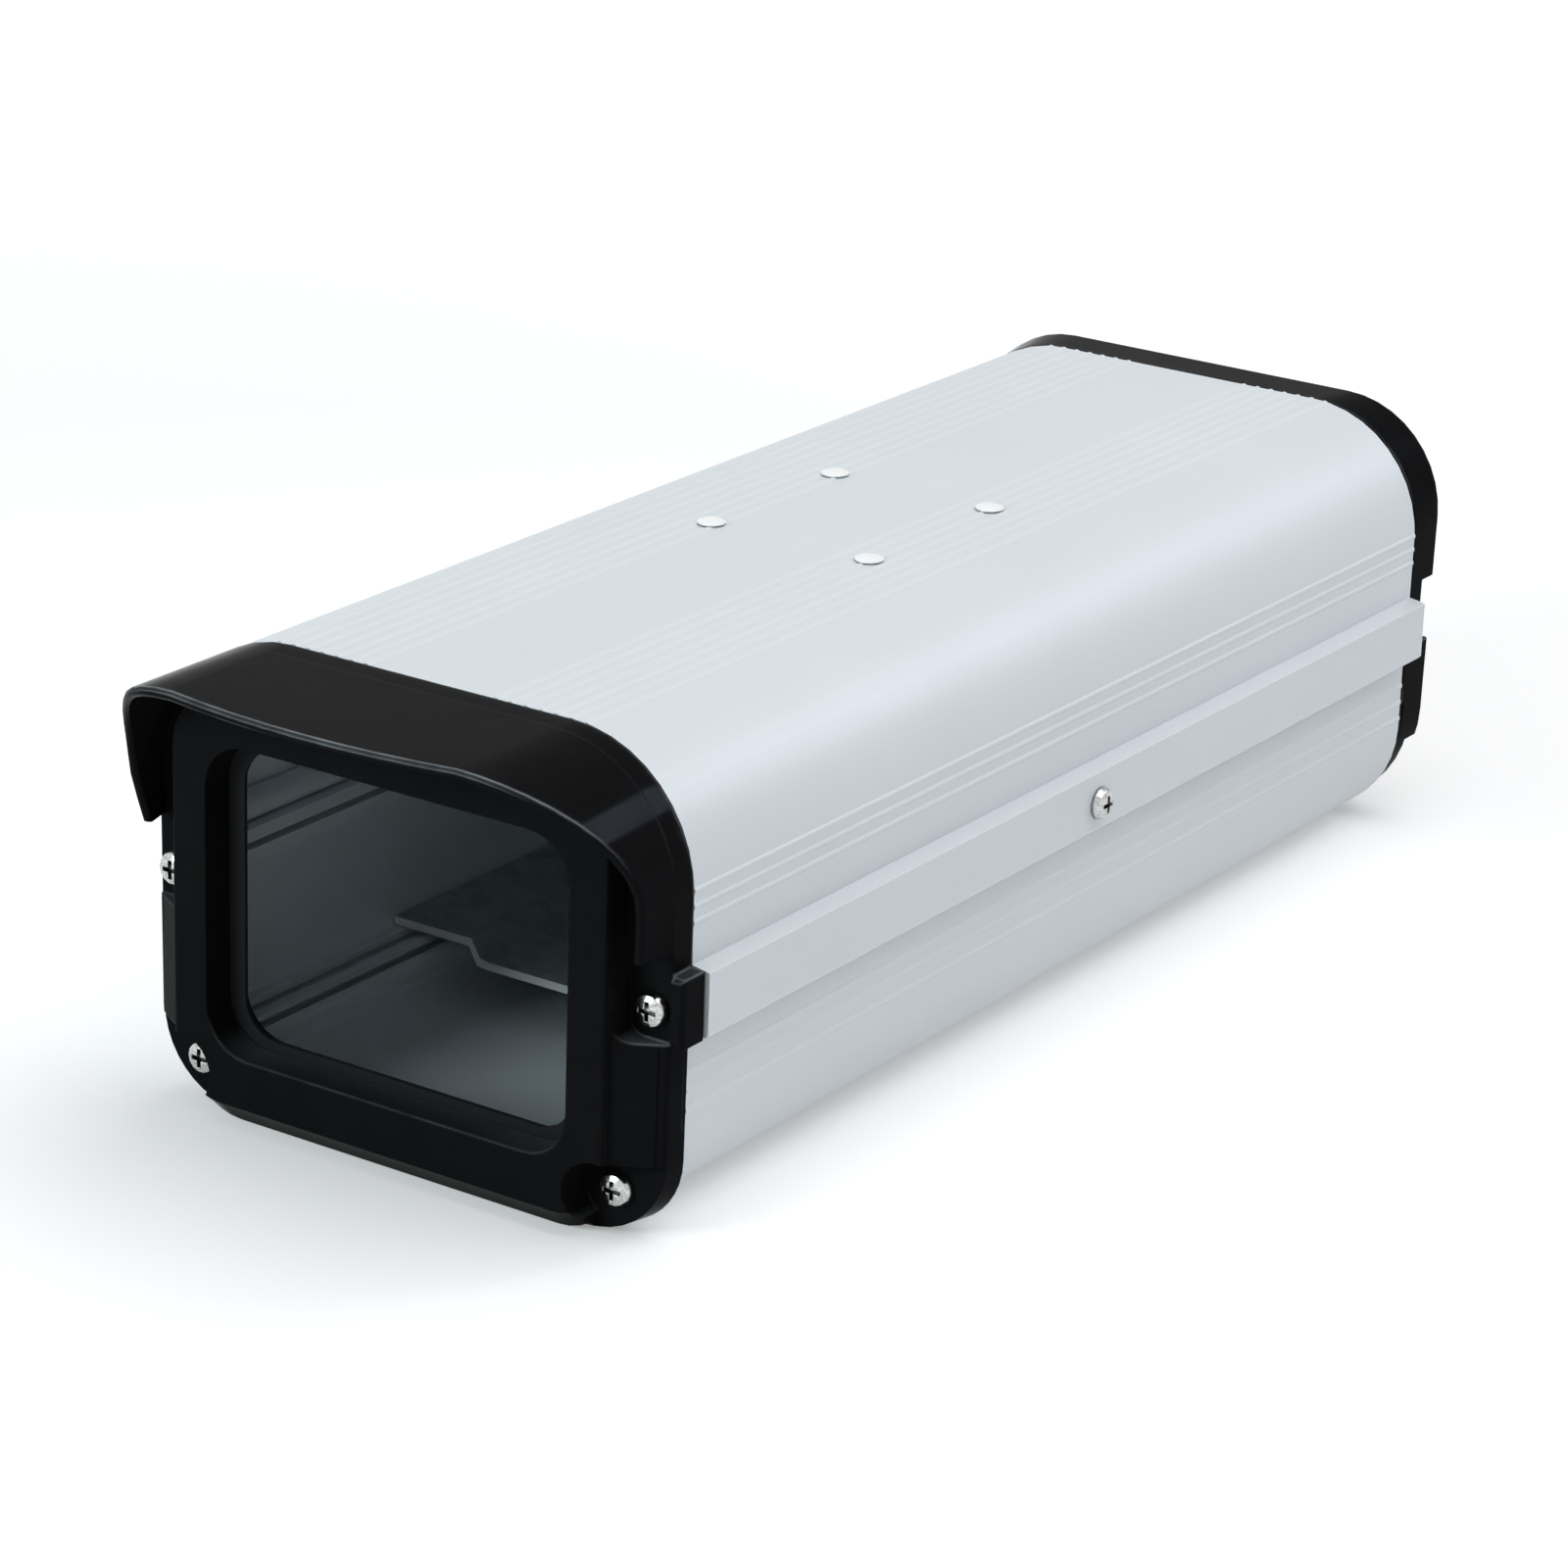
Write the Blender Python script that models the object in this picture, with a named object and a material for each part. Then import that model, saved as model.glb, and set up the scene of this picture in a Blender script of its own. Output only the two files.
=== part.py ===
"""Side-opening camera housing: an extruded lower tray and a hinged extruded lid between two
moulded end covers, with a sun hood over the window. Sizes are in millimetres and are turned
into metres when a mesh is made. X is the width (the lock side is +X), Y runs from the window
(-Y) to the cable entries (+Y), Z is up, and the tray's flat bottom lies at Z = 0."""

import math

import bmesh
import bpy
from mathutils import Matrix, Vector

MM = 0.001

# Clearances
GAP = 0.3            # between pieces that touch
PROUD = 0.15         # how far the end covers stand out from the extrusions

# The two extrusions
LENGTH = 323.0
HALF_W = 70.0
TRAY_TOP = 59.0      # height of the split between tray and lid
LID_RISE = 51.7      # from the split to the top of the lid
HEIGHT = TRAY_TOP + LID_RISE
TOP_R = 32.0
WALL = 2.0
TRAY_INSET = 0.6     # the tray's sides stand this far inside the lid's
TRAY_R = 27.0
TRAY_HALF = HALF_W - TRAY_INSET
TRAY_IN = TRAY_HALF - WALL

# Fine raised lines of the extrusions
LINE_W = 1.5
LINE_H = 0.25
TOP_LINE_FIRST = 17.5
TOP_LINE_PITCH = 4.0
TOP_LINES = 7
SIDE_LINE_FIRST = TRAY_TOP + 13.6
SIDE_LINE_PITCH = 3.6
SIDE_LINES = [SIDE_LINE_FIRST + SIDE_LINE_PITCH * i for i in range(3)]
TRAY_LINE_FIRST = TRAY_R + 2.8
TRAY_LINE_PITCH = 4.5
TRAY_LINES = [TRAY_LINE_FIRST + TRAY_LINE_PITCH * i for i in range(3)]
TRAY_LINE_H = 0.25

# Screw ports along the extrusions, and the cover screws in them
SHANK_R = 1.9
BORE_R = SHANK_R + GAP
BOSS_T = 2.1
BOSS_R = BORE_R + BOSS_T
PORT_SLOT = 0.9
PORT_INSET = 4.2
PORT_DROP = 4.6
PORT_X = TRAY_HALF - PORT_INSET
PORT_Z = TRAY_TOP - PORT_DROP
PORT_CAP = TRAY_TOP - 0.6
CORNER_TURN = 47.23  # degrees below level, seen from the centre of the tray's corner
CORNER_INSET = 5.2
CORNER_OUT = TRAY_R - CORNER_INSET
CORNER_X = TRAY_HALF - TRAY_R + CORNER_OUT * math.cos(math.radians(CORNER_TURN))
CORNER_Z = TRAY_R - CORNER_OUT * math.sin(math.radians(CORNER_TURN))
HEAD_R = 4.1
HEAD_H = 2.6
COVER_SCREW_LEN = 16.0

# The lid's skirt on the lock side and the foot over the seal
SKIRT_REACH = 4.5
SKIRT_T = 2.0
SKIRT_DROP = 11.5
SKIRT_RISE = 3.5
SKIRT_EASE = 0.7
SKIRT_OUT = HALF_W + SKIRT_REACH
SKIRT_IN = SKIRT_OUT - SKIRT_T
SKIRT_LOW = TRAY_TOP - SKIRT_DROP
SKIRT_SHOULDER = TRAY_TOP + SKIRT_RISE
SKIRT_ROOT = SKIRT_SHOULDER + SKIRT_EASE
SEAL_SPACE = 1.6
FOOT_T = 1.9
FOOT_REACH = 3.6
FOOT_LOW = TRAY_TOP + SEAL_SPACE
FOOT_TOP = FOOT_LOW + FOOT_T
FOOT_IN = PORT_X - FOOT_REACH

# The rolled hinge along the far side; angles in degrees
HINGE_INSET = 3.6
HINGE_RISE = 2.6
HINGE_X = HINGE_INSET - HALF_W
HINGE_Z = TRAY_TOP + HINGE_RISE
BEAD_R = 1.9
HOOK_T = 1.3
HOOK_IN_R = BEAD_R + GAP
HOOK_OUT_R = HOOK_IN_R + HOOK_T
HOOK_FROM = -55.0
HOOK_TO = 140.0
NECK_HALF = 0.8

# Rails for the camera plate, and the plate
RAIL_TOP = 16.4
RAIL_T = 1.6
RAIL_REACH = 7.8
RAIL_LOW = RAIL_TOP - RAIL_T
RAIL_IN = TRAY_HALF - RAIL_REACH
PLATE_T = 2.0
PLATE_SIDE = 2.5     # room between the plate and the tray's walls
PLATE_HALF = TRAY_IN - PLATE_SIDE
PLATE_Y0 = 71.0
PLATE_BACK = 23.0
PLATE_Y1 = LENGTH - PLATE_BACK
PLATE_DROP = 4.8     # the middle lies this much lower than the wings
WING_W = 22.9
WING_IN = PLATE_HALF - WING_W
STEP_X = WING_IN - 2.6
MID_X = WING_IN - 5.0
WING_TOP = RAIL_TOP + GAP + PLATE_T
MID_TOP = WING_TOP - PLATE_DROP
CAMERA_SLOT_HALF = 3.4
CAMERA_SLOT_FRONT = PLATE_Y0 + 39.0
CAMERA_SLOT_BACK = PLATE_Y1 - 38.0
SIDE_SLOT_HALF = 2.2
SIDE_SLOT_LEN = 20.0
SIDE_SLOT_X = 24.0
SIDE_SLOT_IN = 20.0  # from the end of the camera slot to the start of a side slot

# Screws of the plate
PLATE_SHANK_R = 1.1
PLATE_HEAD_R = 2.2
PLATE_HEAD_H = 1.5
PLATE_SCREW_LEN = GAP + PLATE_T + GAP + RAIL_T
PLATE_SCREW_X = RAIL_IN + 2.0
PLATE_SCREW_YS = (PLATE_Y0 + 84.0, PLATE_Y1 - 18.0)
CAMERA_Y = 190.0
CAMERA_SCREW_R = 3.0
CAMERA_SCREW_RISE = 8.4
KNOB_R = 6.4
KNOB_T = 4.2

# Front cover
FLANGE_T = 8.0
BEZEL_T = 15.7
FLANGE_Y = -FLANGE_T
BEZEL_Y = -BEZEL_T
BEVEL_Y = FLANGE_Y - 2.2     # where the bezel's sloping underside starts
POCKET_Y = FLANGE_Y + 1.5
FRONT_LOW_R = TRAY_R - 6.5
FRONT_LOW_R_SEAM = TRAY_R - 8.5
BEZEL_INSET = 10.8
BEZEL_DROP = 10.1
BEZEL_HALF = HALF_W - BEZEL_INSET
BEZEL_LOW = 5.0
BEZEL_TOP = HEIGHT - BEZEL_DROP
BEZEL_R = 13.0
BEZEL_ROOT_R = 15.0
HOOD_T = 2.4
HOOD_LOW = TRAY_TOP + 8.4
HOOD_SIDE = 17.6     # how far the hood's sides reach forward of the extrusions
HOOD_SWELL = 22.8    # what the corners add to that
HOOD_CROWN = 3.6     # and what the middle of the front edge adds
HOOD_RAKE = 0.2      # how the side edges fall back per mm below the corner
HOOD_LEAN = 2.2      # how far the lower tips lean inwards at the front
POCKET_R = HEAD_R + 4.5
POCKET_LOW = SKIRT_LOW - 0.1
LEDGE_Z = CORNER_Z + 8.0
EAR_OUT = SKIRT_OUT - 0.9
EAR_LOW = SKIRT_LOW - 0.3
EAR_TOP = SKIRT_SHOULDER + 0.5

# Window
SIGHT_INSET = 14.1
SIGHT_RISE = 14.8
SIGHT_DROP = 12.2
SIGHT_HALF = BEZEL_HALF - SIGHT_INSET
SIGHT_LOW = BEZEL_LOW + SIGHT_RISE
SIGHT_TOP = BEZEL_TOP - SIGHT_DROP
SIGHT_R = 9.0
MOUTH_MARGIN = 4.2   # the opening in the black cover is this much wider than the sight
GLASS_MARGIN = 8.6
RETAINER_MARGIN = 5.2
LOW_SHARE = 0.56     # the gasket shows less above and below than at the sides
GLASS_T = 3.0
GASKET_T = 1.0
RETAINER_T = 2.0
LIP_T = 7.9
LIP_BACK = BEZEL_Y + LIP_T

# Rear cover
REAR_LOW_R = TRAY_R + 2.5
REAR_TIGHT = 3.6
REAR_DEPTH = 12.7
REAR_FLOOR = 6.2
REAR_SKIN = 3.0
REAR_POCKET_TOP = TRAY_TOP + 5.4
REAR_POCKET_LOW = TRAY_TOP - 10.0
REAR_CORNER_TOP = CORNER_Z + 11.0

# Cable glands
GLAND_X = 26.0
GLAND_Z = 32.0
GLAND_THREAD_R = 7.7
GLAND_BORE_R = 5.6
GLAND_INSIDE = 10.0  # length of the thread behind the rear cover's face
COLLAR_R = 10.6
COLLAR_T = 5.0
NECK_R = 8.2
NECK_LEN = 7.5
NUT_R = 11.4
NUT_T = 4.0
CAP_R = 10.4
CAP_LEN = 14.8
CAP_MOUTH_R = 4.9
CABLE_R = 3.3

# Top plugs, as they stand in the photograph
PLUG_XS = (-19.0, 25.5)
PLUG_YS = (132.0, 184.5)
PLUG_R = 3.5
PLUG_H = 0.9
PLUG_STEM_R = 2.0
PLUG_STEM = WALL + 1.2

# Lock screw, bracket bushes, earth screw
LOCK_Y = 159.6
LOCK_Z = TRAY_TOP - 4.4
LOCK_STEM_R = 1.9
LOCK_HEAD_R = 3.9
LOCK_HEAD_H = 2.5
BUSH_YS = (93.0, 163.0, 233.0)
BUSH_R = 4.6
BUSH_BORE_R = 2.6
BUSH_RISE = 5.0
BUSH_FLANGE_R = 7.0
BUSH_FLANGE_T = 1.7
EARTH_X = TRAY_HALF - TRAY_R - 8.4
EARTH_Y = LENGTH - 11.0
EARTH_HEAD_R = 3.6
EARTH_HEAD_H = 2.2

# Face end gaskets
SEAL_W = 1.5
SEAL_OUT = HALF_W - 0.7
SEAL_T = 1.3


def clear_scene():
    for obj in list(bpy.data.objects):
        bpy.data.objects.remove(obj, do_unlink=True)


def material(name, colour, roughness, metallic=0.0, alpha=1.0):
    """A plain surface; colours are linear."""
    mat = bpy.data.materials.get(name)
    if mat is None:
        mat = bpy.data.materials.new(name)
        mat.use_nodes = True
        shader = mat.node_tree.nodes["Principled BSDF"]
        shader.inputs["Base Color"].default_value = (*colour, 1.0)
        shader.inputs["Roughness"].default_value = roughness
        shader.inputs["Metallic"].default_value = metallic
        shader.inputs["Alpha"].default_value = alpha
        mat.diffuse_color = (*colour, alpha)
    return mat


def anodised():
    return material("anodised_aluminium", (0.66, 0.70, 0.72), 0.42, 0.35)


def black_moulding():
    return material("gloss_black_moulding", (0.009, 0.009, 0.010), 0.22)


def bright_steel():
    return material("plated_steel", (0.62, 0.62, 0.60), 0.18, 1.0)


def rubber():
    return material("black_rubber", (0.014, 0.014, 0.015), 0.7)


def sheet_metal():
    return material("galvanised_sheet", (0.42, 0.45, 0.46), 0.38, 0.9)


def nylon():
    return material("black_nylon", (0.016, 0.016, 0.017), 0.45)


def clear_glass():
    return material("clear_glass", (0.80, 0.86, 0.85), 0.03, 0.0, 0.25)


def brass():
    return material("brass", (0.60, 0.43, 0.16), 0.3, 1.0)


# Outlines are lists of (x, z) points in millimetres.


def arc(cx, cz, r, start, stop, steps):
    """Points of an arc, both ends included; angles in degrees from +X towards +Z."""
    points = []
    for i in range(steps + 1):
        angle = math.radians(start + (stop - start) * i / steps)
        points.append((cx + r * math.cos(angle), cz + r * math.sin(angle)))
    return points


def rounded(half, low, top, r_top, r_low, steps=8, low_half=None):
    """A rectangle centred on X = 0 with rounded corners; low_half is its half width below."""
    low_half = low_half or half
    points = arc(low_half - r_low, low + r_low, r_low, -90, 0, steps)
    points += arc(half - r_top, top - r_top, r_top, 0, 90, steps)
    points += arc(r_top - half, top - r_top, r_top, 90, 180, steps)
    points += arc(r_low - low_half, low + r_low, r_low, 180, 270, steps)
    return points


def cover_outline(inset, low_r, tight=0.0):
    """An end cover's outline drawn in by inset; tight makes its upper corners sharper."""
    half = HALF_W + PROUD - inset
    top = HEIGHT + PROUD - inset
    r_top = TOP_R + PROUD - inset - tight
    return rounded(half, inset, top, r_top, low_r - inset, 10, TRAY_HALF + PROUD - inset)


def front_outline(inset):
    return cover_outline(inset, FRONT_LOW_R)


def rear_outline(inset, tight=0.0):
    return cover_outline(inset, REAR_LOW_R, tight)


def sight_outline(margin, steps=6):
    """The window's clear opening, widened by margin."""
    half = SIGHT_HALF + margin
    up = LOW_SHARE * margin
    r = SIGHT_R + 0.5 * margin
    return rounded(half, SIGHT_LOW - up, SIGHT_TOP + up, r, r, steps)


def mirrored(points):
    return [(-x, z) for x, z in reversed(points)]


# Meshes


def finish(name, bm, mat, smooth=None, origin=None):
    """Makes the object from a bmesh in millimetres; origin is where its own zero lies."""
    bmesh.ops.remove_doubles(bm, verts=bm.verts, dist=1e-4)
    bmesh.ops.recalc_face_normals(bm, faces=bm.faces)
    at = Vector(origin) if origin else Vector((0.0, 0.0, 0.0))
    bmesh.ops.transform(bm, matrix=Matrix.Translation(-at), verts=bm.verts)
    bmesh.ops.scale(bm, vec=(MM, MM, MM), verts=bm.verts)
    mesh = bpy.data.meshes.new(name)
    bm.to_mesh(mesh)
    bm.free()
    if smooth:
        mesh.shade_smooth()
        mesh.set_sharp_from_angle(angle=math.radians(smooth))
    obj = bpy.data.objects.new(name, mesh)
    obj.location = at * MM
    if mat:
        mesh.materials.append(mat)
    bpy.context.scene.collection.objects.link(obj)
    return obj


def loft(loops):
    """A closed bmesh through loops of (x, y, z) points, with both ends filled."""
    bm = bmesh.new()
    rings = [[bm.verts.new(p) for p in loop] for loop in loops]
    for first, second in zip(rings, rings[1:]):
        count = len(first)
        for i in range(count):
            j = (i + 1) % count
            bm.faces.new((first[i], first[j], second[j], second[i]))
    bm.faces.new(rings[0])
    bm.faces.new(list(reversed(rings[-1])))
    return bm


def along_y(stations):
    """A loft along Y; stations are (y, outline) pairs with equal point counts."""
    return loft([[(x, y, z) for x, z in outline] for y, outline in stations])


def along_z(stations):
    return loft([[(x, y, z) for x, y in outline] for z, outline in stations])


def disc(cx, cy, r, steps=24):
    return [
        (cx + r * math.cos(math.tau * i / steps), cy + r * math.sin(math.tau * i / steps))
        for i in range(steps)
    ]


def cutter(name, bm):
    obj = finish(name, bm, None)
    obj.hide_render = True
    obj.display_type = "WIRE"
    return obj


def combine(obj, other, operation="DIFFERENCE"):
    mod = obj.modifiers.new(other.name, "BOOLEAN")
    mod.operation = operation
    mod.solver = "EXACT"
    mod.object = other


def box(x0, x1, y0, y1, z0, z1):
    return along_y([(y0, [(x0, z0), (x1, z0), (x1, z1), (x0, z1)]),
                    (y1, [(x0, z0), (x1, z0), (x1, z1), (x0, z1)])])


# Extrusion sections


class LidPath:
    """The lid's outer skin as one path: up the lock side, over the top, down the far side."""

    def __init__(self, start_z, stop_z):
        self.centre_z = HEIGHT - TOP_R
        self.flat = HALF_W - TOP_R
        self.start_z = start_z
        self.wall = self.centre_z - start_z
        self.bend = TOP_R * math.pi / 2
        self.far_wall = self.centre_z - stop_z
        self.corner = self.wall + self.bend
        self.far_corner = self.corner + 2 * self.flat
        self.total = self.far_corner + self.bend + self.far_wall

    def point(self, s, lift):
        r = TOP_R + lift
        if s < self.wall:
            return (HALF_W + lift, self.start_z + s)
        if s < self.corner:
            a = (s - self.wall) / TOP_R
            return (self.flat + r * math.cos(a), self.centre_z + r * math.sin(a))
        if s < self.far_corner:
            return (self.flat - (s - self.corner), HEIGHT + lift)
        if s < self.far_corner + self.bend:
            a = math.pi / 2 + (s - self.far_corner) / TOP_R
            return (-self.flat + r * math.cos(a), self.centre_z + r * math.sin(a))
        return (-HALF_W - lift, self.centre_z - (s - self.far_corner - self.bend))

    def across(self, x):
        """Where the path passes x on its top."""
        if abs(x) <= self.flat:
            return self.corner + self.flat - x
        turn = TOP_R * math.asin((abs(x) - self.flat) / TOP_R)
        return self.corner - turn if x > 0 else self.far_corner + turn

    def beside(self, z, far=False):
        """Where it passes height z on a side."""
        if z <= self.centre_z:
            up = z - self.start_z
        else:
            up = self.wall + TOP_R * math.asin((z - self.centre_z) / TOP_R)
        if not far:
            return up
        return self.far_corner + self.bend + self.wall - up

    def traced(self, lines, steps=10):
        """Points along the path, with a small raised line at each place in lines."""
        marks = [(self.wall + self.bend * i / steps, 0.0) for i in range(steps + 1)]
        marks += [(self.far_corner + self.bend * i / steps, 0.0) for i in range(steps + 1)]
        half = LINE_W / 2
        marks = [m for m in marks if all(abs(m[0] - at) > half + 0.2 for at in lines)]
        for at in lines:
            marks += [(at - half, 0.0), (at - half * 0.4, LINE_H)]
            marks += [(at + half * 0.4, LINE_H), (at + half, 0.0)]
        marks += [(0.0, 0.0), (self.total, 0.0)]
        return [self.point(s, lift) for s, lift in sorted(marks)]


def lid_section():
    """The lid: skirt, fine lines, rolled hook on the far side, and the foot over the seal."""
    end_z = HINGE_Z + 2.0
    path = LidPath(SKIRT_ROOT, end_z)
    lines = [path.beside(z) for z in SIDE_LINES]
    lines += [path.beside(z, far=True) for z in SIDE_LINES]
    for i in range(TOP_LINES):
        x = TOP_LINE_FIRST + TOP_LINE_PITCH * i
        lines += [path.across(x), path.across(-x)]
    inner = HALF_W - WALL
    points = [
        (SKIRT_IN, SKIRT_LOW),
        (SKIRT_OUT - SKIRT_EASE, SKIRT_LOW),
        (SKIRT_OUT, SKIRT_LOW + SKIRT_EASE),
        (SKIRT_OUT, SKIRT_SHOULDER),
    ]
    points += path.traced(lines)
    points += arc(HINGE_X, HINGE_Z, HOOK_OUT_R, HOOK_TO + 4, HOOK_TO, 1)[1:]
    points += arc(HINGE_X, HINGE_Z, HOOK_IN_R, HOOK_TO, HOOK_FROM, 14)
    meet = math.degrees(math.acos((-inner - HINGE_X) / HOOK_OUT_R))
    points += arc(HINGE_X, HINGE_Z, HOOK_OUT_R, HOOK_FROM, meet, 12)
    r = TOP_R - WALL
    flat = HALF_W - TOP_R
    points += arc(-flat, HEIGHT - TOP_R, r, 180, 90, 10)
    points += arc(flat, HEIGHT - TOP_R, r, 90, 0, 10)
    points += [(inner, FOOT_TOP), (FOOT_IN, FOOT_TOP), (FOOT_IN, FOOT_LOW), (SKIRT_IN, FOOT_LOW)]
    return points


def outer_tray_side(top):
    """One outer wall of the tray from its top down to the bottom, on the +X side."""
    points = [(TRAY_HALF, top)]
    for z in sorted(TRAY_LINES, reverse=True):
        half = LINE_W / 2
        lift = TRAY_HALF + TRAY_LINE_H
        points += [(TRAY_HALF, z + half), (lift, z + half * 0.4)]
        points += [(lift, z - half * 0.4), (TRAY_HALF, z - half)]
    points += arc(TRAY_HALF - TRAY_R, TRAY_R, TRAY_R, 0, -90, 10)
    return points


def inner_tray_side():
    """The tray's inside on the +X side, from the upper port's slot down to the floor."""
    slot = math.degrees(math.asin(PORT_SLOT / BORE_R))
    mouth = PORT_X - BOSS_R
    points = [(mouth, PORT_Z + PORT_SLOT)]
    points += arc(PORT_X, PORT_Z, BORE_R, 180 - slot, slot - 180, 14)
    points += [(mouth, PORT_Z - PORT_SLOT), (mouth, PORT_Z - 3.6), (TRAY_IN, PORT_Z - 6.0)]
    cx = TRAY_HALF - TRAY_R
    r = TRAY_R - WALL
    high = math.degrees(math.asin((RAIL_TOP - TRAY_R) / r))
    low = math.degrees(math.asin((RAIL_LOW - TRAY_R) / r))
    points += arc(cx, TRAY_R, r, 0, high, 4)
    points += [(RAIL_IN, RAIL_TOP), (RAIL_IN, RAIL_LOW)]
    points += arc(cx, TRAY_R, r, low, low - 3, 2)
    facing = 182.2 - CORNER_TURN
    wide = math.degrees(math.asin(PORT_SLOT / BOSS_R))
    narrow = math.degrees(math.asin(PORT_SLOT / BORE_R))
    points += arc(CORNER_X, CORNER_Z, BOSS_R, facing - 105, facing - wide, 6)
    points += arc(CORNER_X, CORNER_Z, BORE_R, facing - narrow, facing - 360 + narrow, 14)
    points += arc(CORNER_X, CORNER_Z, BOSS_R, facing + wide, facing + 105, 6)
    points += arc(cx, TRAY_R, r, -CORNER_TURN - 12.8, -90, 4)
    return points


def tray_section():
    """The tray: flat top with the seal seat on the lock side, hinge bead on the far side."""
    points = [(PORT_X - BOSS_R, TRAY_TOP)]
    points += outer_tray_side(TRAY_TOP)
    shoulder = PORT_CAP - 2.7
    points += mirrored(outer_tray_side(shoulder))
    neck = math.degrees(math.asin(NECK_HALF / BEAD_R))
    points += [(-TRAY_HALF + 1.3, shoulder + 1.0), (HINGE_X - NECK_HALF, PORT_CAP - 0.4)]
    points += arc(HINGE_X, HINGE_Z, BEAD_R, 270 - neck, neck - 90, 16)
    points += [(HINGE_X + NECK_HALF, PORT_CAP), (BOSS_R - PORT_X, PORT_CAP)]
    inside = inner_tray_side()
    points += [(-x, z) for x, z in inside]
    points += list(reversed(inside))
    return points


# Pieces of the body


def make_lower_shell():
    section = tray_section()
    obj = finish("lower_shell", along_y([(0.0, section), (LENGTH, section)]), anodised(), 30)
    for i, y in enumerate(BUSH_YS):
        hole = disc(0.0, y, BUSH_R + GAP, 18)
        combine(obj, cutter(f"bush_hole_{i}", along_z([(-2.0, hole), (WALL + 2.0, hole)])))
    earth = disc(EARTH_X, EARTH_Y, SHANK_R + GAP, 16)
    combine(obj, cutter("earth_hole", along_z([(-2.0, earth), (WALL + 2.0, earth)])))
    for side in (-1, 1):
        for i, y in enumerate(PLATE_SCREW_YS):
            hole = disc(side * PLATE_SCREW_X, y, PLATE_SHANK_R + GAP, 14)
            deep = along_z([(RAIL_LOW - 1.0, hole), (RAIL_TOP + 1.0, hole)])
            combine(obj, cutter(f"rail_hole_{side}_{i}", deep))
    return obj


def make_upper_shell(pivot):
    section = lid_section()
    bm = along_y([(GAP, section), (LENGTH - GAP, section)])
    obj = finish("upper_shell", bm, anodised(), 30, pivot)
    for i, (x, y) in enumerate(plug_places()):
        hole = disc(x, y, PLUG_STEM_R + GAP, 16)
        deep = along_z([(HEIGHT - WALL - 2.0, hole), (HEIGHT + 2.0, hole)])
        combine(obj, cutter(f"plug_hole_{i}", deep))
    ring = [(LOCK_Y + (LOCK_STEM_R + GAP) * c, LOCK_Z + (LOCK_STEM_R + GAP) * s)
            for c, s in disc(0, 0, 1, 20)]
    across = loft([[(x, y, z) for y, z in ring] for x in (SKIRT_IN - 1.5, SKIRT_OUT + 2.0)])
    combine(obj, cutter("lock_hole", across))
    return obj


def make_lid_seal():
    x0, x1 = PORT_X - BOSS_R + 1.0, TRAY_HALF - 0.8
    bm = box(x0, x1, 2.0, LENGTH - 2.0, TRAY_TOP + GAP, FOOT_LOW - GAP)
    return finish("lid_seal", bm, rubber())


# Front cover


def hood_reach(x, z):
    """How far forward the hood's edge lies at a point of the outline."""
    flat = HALF_W - TOP_R
    rise = z - (HEIGHT - TOP_R)
    if rise <= 0:
        return HOOD_SIDE + HOOD_RAKE * rise
    if abs(x) <= flat:
        return HOOD_SIDE + HOOD_SWELL + HOOD_CROWN * (1 - (x / flat) ** 2)
    turn = math.atan2(rise, abs(x) - flat)
    return HOOD_SIDE + HOOD_SWELL * math.sin(turn) ** 1.8


def hood_arch(inset):
    """The hood's half outline and its mirror: up one side, over, and down the other."""
    half = HALF_W + PROUD - inset
    r = TOP_R + PROUD - inset
    flat = HALF_W - TOP_R
    centre_z = HEIGHT - TOP_R
    right = [(half, HOOD_LOW), (half, HOOD_LOW + 0.45 * (centre_z - HOOD_LOW))]
    right += arc(flat, centre_z, r, 0, 90, 10)
    top = [(flat * (1 - i / 4), HEIGHT + PROUD - inset) for i in range(1, 8)]
    return right + top + mirrored(right)


def hood_lean(z):
    """How far the hood's front edge leans inwards at height z."""
    start = HEIGHT - TOP_R + 6.0
    return HOOD_LEAN * max(0.0, (start - z) / (start - HOOD_LOW)) ** 1.5


def hood_ring(inset, back):
    """One line of points along the hood's front edge, drawn in by inset and set back."""
    ring = []
    for (x, z), (edge_x, edge_z) in zip(hood_arch(inset), hood_arch(0.0)):
        lean = math.copysign(hood_lean(edge_z), x) if x else 0.0
        ring.append((x - lean, back - hood_reach(edge_x, edge_z), z))
    return ring


def make_hood():
    """The sun hood: an arched sheet whose front edge sweeps back down both sides."""
    ease = 0.7
    rows_at = [hood_ring(0.0, ease), hood_ring(ease, 0.0)]
    rows_at += [hood_ring(HOOD_T - ease, 0.0), hood_ring(HOOD_T, ease)]
    root = FLANGE_Y + 1.6
    rows_at.append([(x, root, z) for x, z in hood_arch(HOOD_T)])
    rows_at.append([(x, root, z) for x, z in hood_arch(0.0)])
    bm = bmesh.new()
    rows = [[bm.verts.new(p) for p in row] for row in rows_at]
    for i, row in enumerate(rows):
        after = rows[(i + 1) % len(rows)]
        for j in range(len(row) - 1):
            bm.faces.new((row[j], row[j + 1], after[j + 1], after[j]))
    bm.faces.new([row[0] for row in rows])
    bm.faces.new([row[-1] for row in reversed(rows)])
    bmesh.ops.triangulate(bm, faces=bm.faces)
    return bm


def edge_rounded(front, back, soft, outline):
    """Stations of a block whose front edge is rounded by soft; outline takes an inset."""
    stations = [(back, outline(0.0))]
    for turn in (0, 30, 60, 90):
        a = math.radians(turn)
        inset = soft * (1 - math.cos(a))
        depth = soft * (1 - math.sin(a))
        stations.append((front + math.copysign(depth, back - front), outline(inset)))
    return stations


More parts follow.
